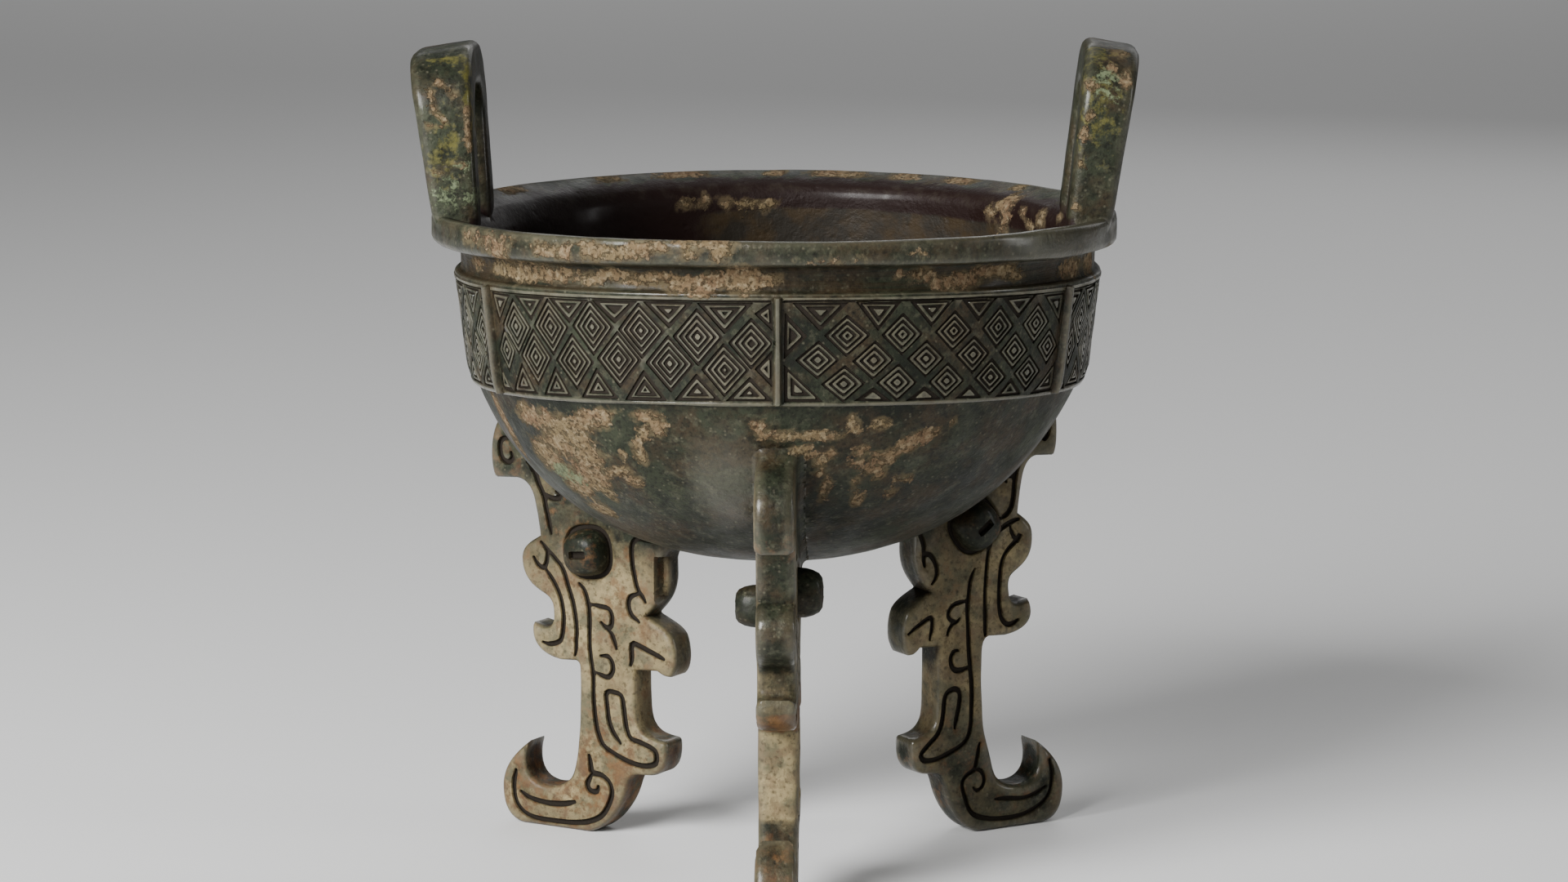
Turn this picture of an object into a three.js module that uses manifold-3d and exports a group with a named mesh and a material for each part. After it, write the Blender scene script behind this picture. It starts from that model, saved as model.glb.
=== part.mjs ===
// A cast bronze ding: a round bowl with two upright loop handles on its lip,
// standing on three flat legs cut and carved as dragons. Millimetres, +Z up.
// The origin is on the floor, on the axis of the bowl; the front leg points to -Y.

import * as THREE from 'three';
import { mergeVertices } from 'three/addons/utils/BufferGeometryUtils.js';
import Module from 'manifold-3d';

const wasm = await Module();
wasm.setup();

// Legs
const LEG_HEIGHT = 100;          // sole to the shoulder of the crest
const LEG_THICKNESS = 9.3;       // across the flat plate
const LEG_SETBACK = 26;          // middle of the shank, inwards from the body of the bowl
const BOWL_SEAT = 0.756;         // underside of the bowl, as a share of the leg's height
const GROOVE_WIDTH = 1.3;
const GROOVE_DEPTH = 1.1;

// Eyes: a boss in a sunk ring on both faces of a leg, with a slot for its pupil
const EYE_RADIUS = 5.75;
const EYE_PROUD = 5.2;
const SOCKET_RADIUS = 7.2;
const PUPIL_LENGTH = 5;
const PUPIL_WIDTH = 2.3;
const PUPIL_DEPTH = 1.6;

// Bowl, from the underside up
const RIM_RADIUS = 82.5;
const BASIN_DEPTH = 47.8;        // underside to the lower edge of the band
const BAND_HEIGHT = 25.4;
const NECK_HEIGHT = 6;
const RIM_UNDERCUT = 1.1;        // slope of the underside of the rim
const RIM_THICKNESS = 5.6;
const RIM_OVERHANG = 5.8;        // rim outside the neck
const NECK_WAIST = 0.4;          // hollow of the neck
const BAND_PROUD = 1.7;          // band outside the neck
const BAND_TAPER = 3;            // fall of the band's radius from top to bottom
const BAND_STEP = 1.2;           // band outside the basin below it
const UNDERSIDE_SPREAD = 0.647;  // how flat the underside is, as a share of the basin's radius
const SHOULDER_SPREAD = 0.89;    // where the basin turns upright, as a share of its radius
const SHOULDER_RISE = 0.552;     // and as a share of its depth
const BASIN_WALL = 4.2;
const LIP_WIDTH = 12.5;          // rim to the inner wall
const LIP_ROUND = 4;             // rounding from the lip's flat into the mouth

// Ribs and lozenges of the band
const RIB_COUNT = 6;
const RIB_WIDTH = 2.2;
const RIB_PROUD = 2;
const RIB_BEVEL = 0.5;
const RIB_ROOT = 1;              // how far a rib reaches into the bowl
const LOZENGES_ACROSS = 6;       // whole lozenges between two ribs
const BAND_BORDER = 0.9;         // plain border above and below the lozenges
const LOZENGE_DEPTH = 0.8;
const PANEL_GAP = 0.08;          // panels end inside the rib, in halves of a lozenge

// Handles
const HANDLE_HEIGHT = 39;
const HANDLE_WIDTH = 45;
const HANDLE_POST = 11;          // width of each upright of the loop
const HANDLE_BAR = 10.5;         // height of the loop's top
const HANDLE_BASE = 11;          // thickness where it stands on the lip
const HANDLE_INSET = 1.8;        // outer face of the base, inwards from the rim
const HANDLE_CROWN = 17;         // outer rounding of the loop's corners
const HANDLE_EYE_ROUND = 8;      // inner rounding of the loop's corners
const HANDLE_SINK = 2.8;         // how far the base goes down into the lip
const HANDLE_EDGE = 2;

// Cuts reach this far past the faces that they open
const CUT_CLEAR = 1;

// Fineness of the facets
const TURN_SEGMENTS = 72;
const BASIN_STEPS = 5;
const CURVE_STEPS = 4;
const STROKE_STEPS = 2;
const ARCH_STEPS = 3;
const EYE_SEGMENTS = 12;
const LIP_STEPS = 3;
const WELD = 1e-4;               // points closer than this are one point

// Heights and radii that follow from the sizes above
const BASIN_BOTTOM = BOWL_SEAT * LEG_HEIGHT;
const BAND_BOTTOM = BASIN_BOTTOM + BASIN_DEPTH;
const BAND_TOP = BAND_BOTTOM + BAND_HEIGHT;
const RIM_BOTTOM = BAND_TOP + NECK_HEIGHT + RIM_UNDERCUT;
const RIM_TOP = RIM_BOTTOM + RIM_THICKNESS;
const NECK_RADIUS = RIM_RADIUS - RIM_OVERHANG;
const BAND_TOP_RADIUS = NECK_RADIUS + BAND_PROUD;
const BAND_BOTTOM_RADIUS = BAND_TOP_RADIUS - BAND_TAPER;
const BASIN_RADIUS = BAND_BOTTOM_RADIUS - BAND_STEP;
const MOUTH_RADIUS = RIM_RADIUS - LIP_WIDTH;
const SHANK_RADIUS = BASIN_RADIUS - LEG_SETBACK;
const LEG_UNIT = LEG_HEIGHT / 100;

// The shank's middle line in the leg's own drawing, in hundredths of the leg's height
const DRAWN_SHANK = 48.2;
const DRAWN_FACE = 56;           // outer edge of the shank in the same drawing
const DRAWN_LIFT = [30, 43];     // a leg is lengthened between these heights
const DRAWN_CREST = [45, 60];    // and its crest is drawn in above these

// Each leg was shaped by hand: lift lengthens its shank, slim narrows it about the shank's
// outer edge, draw pulls its crest and scroll in, shift moves it sideways
const LEGS = [
  { azimuth: -92, lift: 2, slim: 0, draw: 0, shift: 2.9 },
  { azimuth: 30, lift: 6, slim: 0.14, draw: 0.2, shift: 2.1 },
  { azimuth: 150, lift: 0, slim: 0, draw: 0, shift: 2.1 },
];

// The two handles lean out by their own angles, outer and inner face, and one is a little taller
const HANDLES = [
  { azimuth: -1.4, outerLean: 9.5, innerLean: 6.5, taller: 0.9 },
  { azimuth: 178.6, outerLean: 8.9, innerLean: 2.8, taller: 0 },
];

const { clamp, degToRad, mapLinear, smoothstep } = THREE.MathUtils;
const point = (x, y) => new THREE.Vector2(x, y);
const EYE_AT = point(53.4, 71.7);  // middle of the eye in the leg's drawing
const EYE_DOME = [[1, 0.4], [0.9, 0.74], [0.62, 0.94], [0, 1]];  // shares of its radius and height

// Solids and booleans

function withoutCollapsed(geometry) {
  const index = geometry.index.array;
  const kept = [];
  for (let i = 0; i < index.length; i += 3) {
    const [a, b, c] = [index[i], index[i + 1], index[i + 2]];
    if (a !== b && b !== c && c !== a) kept.push(a, b, c);
  }
  geometry.setIndex(kept);
  return geometry;
}

function solidOfMerged(geometry) {
  return new wasm.Manifold(new wasm.Mesh({
    numProp: 3,
    vertProperties: new Float32Array(geometry.attributes.position.array),
    triVerts: new Uint32Array(geometry.index.array),
  }));
}

function solid(geometry) {
  const bare = geometry.clone();
  bare.deleteAttribute('normal');
  bare.deleteAttribute('uv');
  return solidOfMerged(withoutCollapsed(mergeVertices(bare, WELD)));
}

function joined(solids) {
  return solids.reduce((sum, next) => sum.add(next));
}

function geometryOf(manifold) {
  const mesh = manifold.getMesh();
  const geometry = new THREE.BufferGeometry();
  geometry.setAttribute('position', new THREE.BufferAttribute(mesh.vertProperties, 3));
  geometry.setIndex(new THREE.BufferAttribute(mesh.triVerts, 1));
  geometry.computeVertexNormals();
  return geometry;
}

// A solid turned about the axis of the bowl to an azimuth, then moved sideways
function placed(manifold, azimuth, shift = 0) {
  const geometry = geometryOf(manifold);
  geometry.rotateZ(degToRad(azimuth));
  return solidOfMerged(geometry.translate(shift, 0, 0));
}

// A turned form about +Z from a profile of radius and height
function turned(profile, segments = TURN_SEGMENTS) {
  return new THREE.LatheGeometry(profile, segments).rotateX(Math.PI / 2);
}

// Bowl

function basinCurve() {
  return new THREE.CubicBezierCurve(
    point(0, BASIN_BOTTOM),
    point(UNDERSIDE_SPREAD * BASIN_RADIUS, BASIN_BOTTOM),
    point(SHOULDER_SPREAD * BASIN_RADIUS, BASIN_BOTTOM + SHOULDER_RISE * BASIN_DEPTH),
    point(BASIN_RADIUS, BAND_BOTTOM),
  );
}

function bowlBody() {
  return solid(turned([
    ...basinCurve().getPoints(BASIN_STEPS),
    point(NECK_RADIUS, BAND_TOP),
    point(NECK_RADIUS - NECK_WAIST, BAND_TOP + NECK_HEIGHT / 2),
    point(NECK_RADIUS, BAND_TOP + NECK_HEIGHT),
    point(RIM_RADIUS, RIM_BOTTOM),
    point(RIM_RADIUS, RIM_TOP),
    point(0, RIM_TOP),
  ]));
}

// The hollow of the bowl, from its inner floor to just above the lip
function bowlHollow() {
  const outer = basinCurve();
  const inner = [];
  for (let i = 0; i <= BASIN_STEPS; i += 1) {
    const across = outer.getTangent(i / BASIN_STEPS);
    const at = outer.getPoint(i / BASIN_STEPS);
    inner.push(point(at.x - across.y * BASIN_WALL, at.y + across.x * BASIN_WALL));
  }
  inner[0].x = 0;
  const lip = [];
  for (let i = 0; i <= LIP_STEPS; i += 1) {
    const turn = (i / LIP_STEPS) * Math.PI / 2;
    lip.push(point(
      MOUTH_RADIUS + LIP_ROUND * (1 - Math.cos(turn)),
      RIM_TOP - LIP_ROUND * (1 - Math.sin(turn)),
    ));
  }
  return solid(turned([
    ...inner,
    ...lip,
    point(MOUTH_RADIUS + LIP_ROUND, RIM_TOP + LIP_ROUND),
    point(0, RIM_TOP + LIP_ROUND),
  ]));
}

// Band

function rib(azimuth) {
  const shape = new THREE.Shape([
    point(BASIN_RADIUS - RIB_ROOT, BAND_BOTTOM),
    point(BAND_BOTTOM_RADIUS + RIB_PROUD - RIB_BEVEL, BAND_BOTTOM),
    point(BAND_BOTTOM_RADIUS + RIB_PROUD, BAND_BOTTOM + RIB_BEVEL),
    point(BAND_TOP_RADIUS + RIB_PROUD, BAND_TOP - RIB_BEVEL),
    point(BAND_TOP_RADIUS + RIB_PROUD - RIB_BEVEL, BAND_TOP),
    point(NECK_RADIUS - RIB_ROOT, BAND_TOP),
  ]);
  return placed(solid(uprightPlate(shape, -RIB_WIDTH / 2, RIB_WIDTH / 2)), azimuth);
}

// How deep the lozenges sink the band: nothing on the ridges between them, most in the
// middle of each. Across and down count in whole lozenges.
function lozengeSink(across, down) {
  const fromMiddle = (value) => Math.abs(value - Math.round(value));
  const ridge = 2 * Math.max(fromMiddle(across + down), fromMiddle(across - down));
  return LOZENGE_DEPTH * (1 - ridge);
}

// Turns the squares of the panel's front so that their ridges follow the lozenges
function crossSquares(slab, columns, lines) {
  const front = slab.groups[4];
  const first = slab.index.getX(front.start);
  for (let line = 0; line < lines; line += 1) {
    for (let column = 0; column < columns; column += 1) {
      if ((line + column) % 2 === 1) {
        const a = first + column + (columns + 1) * line;
        const b = a + columns + 1;
        const at = front.start + 6 * (line * columns + column);
        [a, b, b + 1, a, b + 1, a + 1].forEach((corner, i) => slab.index.setX(at + i, corner));
      }
    }
  }
}

// One panel of the band, between two ribs, with its lozenges in staggered rows
function lozengePanel(azimuth, rows) {
  const columns = 2 * LOZENGES_ACROSS;
  const lines = rows + 3;
  const span = 360 / RIB_COUNT;
  const patternTop = BAND_TOP - BAND_BORDER;
  const lineHeight = (BAND_HEIGHT - 2 * BAND_BORDER) / (lines - 2);
  const slab = new THREE.BoxGeometry(columns, lines, 1, columns, lines, 1);
  crossSquares(slab, columns, lines);
  const spots = slab.attributes.position;
  for (let i = 0; i < spots.count; i += 1) {
    const column = spots.getX(i) + columns / 2;
    const line = lines / 2 - spots.getY(i);
    const inPattern = line >= 1 && line <= lines - 1;
    const edge = line < 1 ? BAND_TOP : BAND_BOTTOM;
    const z = inPattern ? patternTop - (line - 1) * lineHeight : edge;
    const sink = inPattern ? lozengeSink(column / 2, (line - 1) / 2) : 0;
    const surface = BAND_BOTTOM_RADIUS + (BAND_TAPER * (z - BAND_BOTTOM)) / BAND_HEIGHT;
    const radius = spots.getZ(i) > 0 ? surface - sink : BASIN_RADIUS - BASIN_WALL / 2;
    const inset = clamp(column, PANEL_GAP, columns - PANEL_GAP);
    const turn = degToRad(azimuth + (inset / columns) * span);
    spots.setXYZ(i, radius * Math.cos(turn), radius * Math.sin(turn), z);
  }
  return solid(slab);
}

// Handles

function archPath(halfWidth, height, corner, sink) {
  const path = new THREE.Path();
  path.moveTo(halfWidth, -sink);
  path.lineTo(halfWidth, height - corner);
  path.absarc(halfWidth - corner, height - corner, corner, 0, Math.PI / 2, false);
  path.absarc(corner - halfWidth, height - corner, corner, Math.PI / 2, Math.PI, false);
  path.lineTo(-halfWidth, -sink);
  return path.getPoints(ARCH_STEPS);
}

// A loop on the lip. Its faces lean outwards, and its top slopes down with them.
function handle({ azimuth, outerLean, innerLean, taller }) {
  const height = HANDLE_HEIGHT + taller;
  const outer = archPath(HANDLE_WIDTH / 2, height, HANDLE_CROWN, HANDLE_SINK);
  const inner = archPath(
    HANDLE_WIDTH / 2 - HANDLE_POST,
    height - HANDLE_BAR,
    HANDLE_EYE_ROUND,
    HANDLE_SINK,
  );
  const loop = new THREE.ExtrudeGeometry(new THREE.Shape([...outer, ...inner.reverse()]), {
    depth: 1,
    bevelThickness: HANDLE_EDGE,
    bevelSize: HANDLE_EDGE,
    bevelOffset: -HANDLE_EDGE,
    bevelSegments: 2,
  });
  const spots = loop.attributes.position;
  const baseOuter = RIM_RADIUS - HANDLE_INSET;
  const baseInner = baseOuter - HANDLE_BASE;
  for (let i = 0; i < spots.count; i += 1) {
    const up = spots.getY(i);
    const outerFace = baseOuter + up * Math.tan(degToRad(outerLean));
    const innerFace = baseInner + up * Math.tan(degToRad(innerLean));
    const depth = spots.getZ(i);
    const radius = depth > 0.5
      ? outerFace - (HANDLE_EDGE + 1 - depth)
      : innerFace + (depth + HANDLE_EDGE);
    const crown = smoothstep(up, height - HANDLE_CROWN, height);
    const fall = crown * (radius - innerFace) * Math.tan(degToRad(outerLean));
    spots.setXYZ(i, radius, spots.getX(i), RIM_TOP + up - fall);
  }
  return solid(loop.rotateZ(degToRad(azimuth)));
}

// Legs

// A plate standing in the upright plane at azimuth 0; from and to are its two faces,
// measured across that plane
function uprightPlate(shape, from, to) {
  const plate = new THREE.ExtrudeGeometry(shape, { depth: to - from, bevelEnabled: false });
  return plate.translate(0, 0, from).rotateX(Math.PI / 2);
}

// From the drawing of the leg, in hundredths of its height, to radius and height
function onLeg(leg, drawn) {
  const above = smoothstep(drawn.y, ...DRAWN_CREST);
  const outward = drawn.x - DRAWN_FACE;
  const pull = outward > 0 ? leg.draw * above : leg.slim;
  const across = drawn.x - outward * pull - DRAWN_SHANK;
  const lift = clamp(mapLinear(drawn.y, ...DRAWN_LIFT, 0, leg.lift), 0, leg.lift);
  return point(SHANK_RADIUS + across * LEG_UNIT, drawn.y * LEG_UNIT + lift);
}

// The dragon's outline, from the crest under the rim down the outer edge to the toe,
// along the sole and back up the inner edge to the neck
function legOutline() {
  const edge = new THREE.Path();
  edge.moveTo(64, 118);
  edge.lineTo(68, 117);
  edge.quadraticCurveTo(69.6, 111.2, 74.2, 109.4);
  edge.lineTo(80.6, 102.7);
  edge.bezierCurveTo(83.4, 98, 83, 90, 81.2, 88.2);
  edge.lineTo(75.4, 88.5);
  edge.bezierCurveTo(70.5, 88.3, 70, 84, 69, 80);
  edge.lineTo(68.1, 74.6);
  edge.bezierCurveTo(70.8, 72.9, 73.4, 72, 73.6, 68.6);
  edge.bezierCurveTo(73.7, 63, 70, 61.2, 66.9, 59.6);
  edge.bezierCurveTo(64.6, 58.5, 64.2, 57, 64.3, 53.5);
  edge.quadraticCurveTo(64.8, 51.5, 66.8, 51.4);
  edge.lineTo(70.4, 52.2);
  edge.bezierCurveTo(71.3, 48, 69, 44.2, 62.3, 43.4);
  edge.lineTo(57.8, 43.7);
  edge.quadraticCurveTo(56.5, 43.5, 56.4, 42);
  edge.bezierCurveTo(56.1, 34, 56.8, 20, 59.2, 14.4);
  edge.bezierCurveTo(61, 10.6, 67.5, 9.6, 70.6, 12);
  edge.bezierCurveTo(72.8, 13.8, 73, 17, 71.8, 21.5);
  edge.bezierCurveTo(76.5, 18.2, 80.6, 14, 80, 7.6);
  edge.bezierCurveTo(79.8, 3.4, 77.6, 0, 73, 0);
  edge.lineTo(54.5, 0);
  edge.bezierCurveTo(49.5, 0.6, 44.4, 6.6, 42.9, 12.2);
  edge.quadraticCurveTo(42, 15.6, 40.2, 16.2);
  edge.lineTo(36, 16.5);
  edge.bezierCurveTo(32.2, 17, 30.9, 19.4, 31, 24.2);
  edge.quadraticCurveTo(31, 25.8, 32.6, 25.9);
  edge.bezierCurveTo(36.5, 26.3, 39.6, 27.2, 39.8, 33);
  edge.lineTo(40, 42.8);
  edge.lineTo(34, 43);
  edge.quadraticCurveTo(31.6, 41.4, 29.8, 42);
  edge.bezierCurveTo(27.6, 43.6, 28, 49.6, 29.4, 52.2);
  edge.bezierCurveTo(30.8, 54.2, 33.4, 55.3, 36.9, 56.9);
  edge.bezierCurveTo(33.6, 60, 31.6, 63.5, 31.9, 68);
  edge.lineTo(32, 71);
  edge.quadraticCurveTo(31.4, 74, 28.6, 75.4);
  edge.lineTo(26.5, 80);
  edge.lineTo(26.5, 90);
  return edge.getPoints(CURVE_STEPS);
}

// The carved strokes of one face, each drawn along its middle
function legStrokes() {
  const stroke = (x, y) => new THREE.Path().moveTo(x, y);

  const crestCurl = stroke(76.7, 98.7);
  crestCurl.bezierCurveTo(80.5, 98.6, 80.6, 92.6, 77.3, 92.5);
  crestCurl.quadraticCurveTo(75.6, 92.8, 76.2, 95);

  const brow = stroke(71.3, 93.1);
  brow.bezierCurveTo(67.5, 89.4, 65.6, 84, 64.4, 75.4);

  const mane = stroke(68.1, 73.7);
  mane.bezierCurveTo(60.5, 66.8, 57.6, 60, 56.9, 51.2);
  mane.lineTo(57.6, 44.6);

  const scrollLine = stroke(67.4, 47.5);
  scrollLine.bezierCurveTo(61.4, 46.8, 60.6, 50, 61, 56.5);
  scrollLine.bezierCurveTo(61.5, 61, 63.8, 63.5, 66, 66);
  scrollLine.quadraticCurveTo(68.4, 66, 69.4, 68.8);

  const spine = stroke(56.2, 63.5);
  spine.bezierCurveTo(53, 60.6, 53.1, 56, 53.1, 48.2);
  spine.bezierCurveTo(52, 41, 52.8, 27.6, 49.8, 23.6);
  spine.bezierCurveTo(47.6, 21.2, 40, 18.4, 35.8, 19.2);
  spine.lineTo(33.6, 22.8);
  spine.lineTo(41.2, 25.5);
  spine.bezierCurveTo(42.9, 27, 42.4, 34, 44, 36.1);
  spine.lineTo(48.3, 36.5);
  spine.bezierCurveTo(47.9, 30.5, 47, 27.6, 44.4, 24);

  const upperCurl = stroke(52.2, 58.4);
  upperCurl.bezierCurveTo(47.5, 58.6, 45.6, 57.2, 46.9, 53.4);
  upperCurl.lineTo(45.4, 48.4);

  const lowerCurl = stroke(50, 45.7);
  lowerCurl.bezierCurveTo(46, 46.2, 45, 40.4, 49, 40.5);
  lowerCurl.lineTo(51.2, 41.2);

  const armLine = stroke(31.7, 46.7);
  armLine.lineTo(40.6, 49.7);
  armLine.lineTo(40.4, 43.8);

  const neckCurl = stroke(38.8, 76.4);
  neckCurl.bezierCurveTo(42, 72.6, 40, 67, 39, 63.8);
  neckCurl.bezierCurveTo(43.4, 60.4, 41, 54.4, 36.8, 54.2);

  const footSweep = stroke(53.7, 19.8);
  footSweep.lineTo(52.7, 15.5);
  footSweep.bezierCurveTo(42.6, 14.8, 48.4, 1.6, 60, 1.5);
  footSweep.bezierCurveTo(72, 0.8, 76.6, 2.8, 76.2, 14);

  const footLine = stroke(58.1, 7.3);
  footLine.bezierCurveTo(63, 5.6, 70, 6, 74.4, 8.2);

  return [
    crestCurl, brow, mane, scrollLine, spine, upperCurl, lowerCurl,
    armLine, neckCurl, footSweep, footLine,
  ];
}

// A stroke of even width along a line of points
function strokeShape(line, width) {
  const left = [];
  const right = [];
  line.forEach((at, i) => {
    const before = line[Math.max(i - 1, 0)];
    const after = line[Math.min(i + 1, line.length - 1)];
    const along = after.clone().sub(before).normalize();
    const side = point(-along.y, along.x).multiplyScalar(width / 2);
    left.push(at.clone().add(side));
    right.push(at.clone().sub(side));
  });
  return new THREE.Shape([...left, ...right.reverse()]);
}

// Cuts a form out of both faces of the plate, down to the depth of the grooves
function sunkInBothFaces(shape) {
  const floor = LEG_THICKNESS / 2 - GROOVE_DEPTH;
  const clear = LEG_THICKNESS / 2 + CUT_CLEAR;
  return [
    solid(uprightPlate(shape, floor, clear)),
    solid(uprightPlate(shape, -clear, -floor)),
  ];
}

function strokeCuts(leg) {
  return legStrokes().flatMap((path) => {
    const line = path.getPoints(STROKE_STEPS).map((drawn) => onLeg(leg, drawn));
    return sunkInBothFaces(strokeShape(line, GROOVE_WIDTH));
  });
}

function circle(centre, radius) {
  const ring = new THREE.Shape();
  ring.absarc(centre.x, centre.y, radius, 0, 2 * Math.PI, false);
  return new THREE.Shape(ring.getPoints(EYE_SEGMENTS / 2));
}

// The boss goes through the plate and stands out of both faces
function eyeBoss(centre) {
  const dome = EYE_DOME.map(([across, out]) => point(
    across * EYE_RADIUS,
    LEG_THICKNESS / 2 + out * EYE_PROUD,
  ));
  const below = dome.map((at) => point(at.x, -at.y)).reverse();
  const boss = turned([...below, ...dome], EYE_SEGMENTS);
  return solid(boss.rotateX(Math.PI / 2).translate(centre.x, 0, centre.y));
}

function eyePupil(centre, side) {
  const slot = new THREE.BoxGeometry(PUPIL_LENGTH, 2 * PUPIL_DEPTH, PUPIL_WIDTH);
  return solid(slot.translate(centre.x, side * (LEG_THICKNESS / 2 + EYE_PROUD), centre.y));
}

function dragonLeg(leg) {
  const shape = new THREE.Shape(legOutline().map((drawn) => onLeg(leg, drawn)));
  const eye = onLeg(leg, EYE_AT);
  const cuts = [...strokeCuts(leg), ...sunkInBothFaces(circle(eye, SOCKET_RADIUS))];
  const carved = solid(uprightPlate(shape, -LEG_THICKNESS / 2, LEG_THICKNESS / 2))
    .subtract(joined(cuts))
    .add(eyeBoss(eye))
    .subtract(joined([eyePupil(eye, 1), eyePupil(eye, -1)]));
  return placed(carved, leg.azimuth, leg.shift);
}

// The casting

function vessel() {
  const band = [];
  for (let i = 0; i < RIB_COUNT; i += 1) {
    const azimuth = -90 + (i * 360) / RIB_COUNT;
    band.push(rib(azimuth), lozengePanel(azimuth, i === 0 ? 3 : 2));
  }
  const carried = joined([bowlBody(), ...band, ...LEGS.map(dragonLeg)]);
  return joined([carried.subtract(bowlHollow()), ...HANDLES.map(handle)]);
}

const bronze = new THREE.MeshStandardMaterial({
  color: 0x5b5a4a,
  roughness: 0.7,
  metalness: 0.5,
});

const casting = new THREE.Mesh(geometryOf(vessel()), bronze);
casting.name = 'ding_vessel';

const object = new THREE.Group();
object.add(casting);
export default object;
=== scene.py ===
"""A cast bronze ding: a round bowl with loop handles on its lip, on three flat dragon legs.

The whole casting is one mesh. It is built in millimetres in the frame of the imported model,
origin on the floor on the axis of the bowl, front leg towards -Y, and scaled to metres last.
"""
import math
import random

import bmesh
import bpy
import numpy as np
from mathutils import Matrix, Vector, noise
from mathutils.geometry import delaunay_2d_cdt
from mathutils.kdtree import KDTree


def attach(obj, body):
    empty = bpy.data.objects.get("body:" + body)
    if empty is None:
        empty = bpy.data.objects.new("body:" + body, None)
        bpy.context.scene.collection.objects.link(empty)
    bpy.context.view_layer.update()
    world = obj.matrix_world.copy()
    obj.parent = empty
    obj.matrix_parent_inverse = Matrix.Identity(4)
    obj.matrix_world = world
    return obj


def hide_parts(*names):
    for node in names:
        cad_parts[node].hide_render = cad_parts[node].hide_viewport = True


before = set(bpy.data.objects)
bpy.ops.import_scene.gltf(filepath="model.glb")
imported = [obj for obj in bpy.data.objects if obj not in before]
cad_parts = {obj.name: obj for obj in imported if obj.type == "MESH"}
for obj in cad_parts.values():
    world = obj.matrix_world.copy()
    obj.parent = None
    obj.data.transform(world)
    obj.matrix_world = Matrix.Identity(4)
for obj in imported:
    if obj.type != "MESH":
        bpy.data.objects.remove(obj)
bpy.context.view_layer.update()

MM = 0.001

# Bowl, millimetres
RIM_RADIUS = 82.5
RIM_TOP = 161.5
BASIN_BOTTOM = 75.6
BASIN_RADIUS = 74.2
BASIN_WALL = 4.2
BAND_BOTTOM = 123.4
BAND_TOP = 148.8
BAND_BOTTOM_RADIUS = 75.4
BAND_TOP_RADIUS = 78.4
UNDERSIDE_SPREAD = 0.647         # how flat the underside is, as a share of the basin's radius
SHOULDER_SPREAD = 0.89           # where the basin turns upright, as a share of its radius
SHOULDER_RISE = 0.552            # and as a share of its height
BASIN_ARC = 115.0                # along the basin's outside, from the underside's middle up
BASIN_TOP_DROP = 0.25            # the basin's last ring stays this far below the band
WALL_RADIUS = 69.95              # inner wall, below the lip
WALL_TOP = 154.3
WALL_HOLLOW = 0.35
COLUMNS = 240
BASIN_ROWS = 54
FLOOR_ROWS = 26
WALL_ROWS = 12

# The step below the band, and the neck, rim and lip above it, as radius and height
BAND_FOOT = [(BAND_BOTTOM_RADIUS - 0.3, BAND_BOTTOM - 0.12), (BAND_BOTTOM_RADIUS, BAND_BOTTOM)]
NECK_AND_RIM = [
    (BAND_TOP_RADIUS, BAND_TOP), (78.25, 149.1), (77.7, 149.35), (76.9, 149.6), (76.55, 150.1),
    (76.35, 151.4), (76.35, 152.9), (76.6, 154.2), (77.2, 154.9), (78.6, 155.3), (80.6, 155.65),
    (81.7, 155.95), (82.25, 156.45), (82.5, 157.2), (82.5, 158.7), (82.5, 160.1), (82.3, 160.9),
    (81.8, 161.35), (81.0, RIM_TOP), (80.0, 161.4), (78.6, 161.1), (76.8, 160.6),
    (75.0, 160.05), (73.4, 159.5), (72.2, 158.9), (71.2, 158.0), (70.5, 156.9), (70.1, 155.7),
]

# Band
PANELS = 6
PANEL_TURN = 360 / PANELS        # degrees between two ribs
BAND_HEIGHT = BAND_TOP - BAND_BOTTOM
BAND_MIDDLE_RADIUS = (BAND_TOP_RADIUS + BAND_BOTTOM_RADIUS) / 2
ARC_PER_DEGREE = math.radians(1) * BAND_MIDDLE_RADIUS
TOP_LINE = 1.3                   # upper border line, down from the band's top
LINE_PITCH = 1.08                # from one fine raised line to the next
LINE_RELIEF = 0.5
LINE_LEVEL = -0.04               # top of the fine lines, against the plain band
FINE_LINE = (                    # inset, height, carved mark and raised mark, from line to line
    (0.10, -LINE_RELIEF, 1.0, 0.0), (0.60, -LINE_RELIEF, 1.0, 0.0), (0.70, LINE_LEVEL, 0.0, 1.0),
)
BORDER_LINES = (                 # down from the band's top, height, carved mark and raised mark
    (0.25, 0.0, 0, 0), (0.4, 0.22, 0, 1), (0.95, 0.22, 0, 1), (1.08, -LINE_RELIEF * 0.7, 1, 0),
    (1.38, -LINE_RELIEF * 0.7, 1, 0), (1.48, 0.0, 0, 0.6),
    (BAND_HEIGHT - 0.75, 0.0, 0, 0.4), (BAND_HEIGHT - 0.6, 0.1, 0, 0.7),
    (BAND_HEIGHT - 0.25, 0.1, 0, 0.7),
)
FIGURE_GROWTH = 0.3              # how far the outermost line lies outside a figure's corners
FIGURE_STRAY = (0.18, 0.14)      # how far its corners stray by hand, along and up
FIGURE_SEED = 40
RIB_PROUD = 1.7
RIB_SECTION = ((0, 1), (0.4, 0.93), (0.75, 0.62), (0.95, 0))  # from its middle, share of its height
RIB_RAISED = 0.2                 # how much a rib is lightened like a raised line, as wear and as painted highlight
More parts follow.
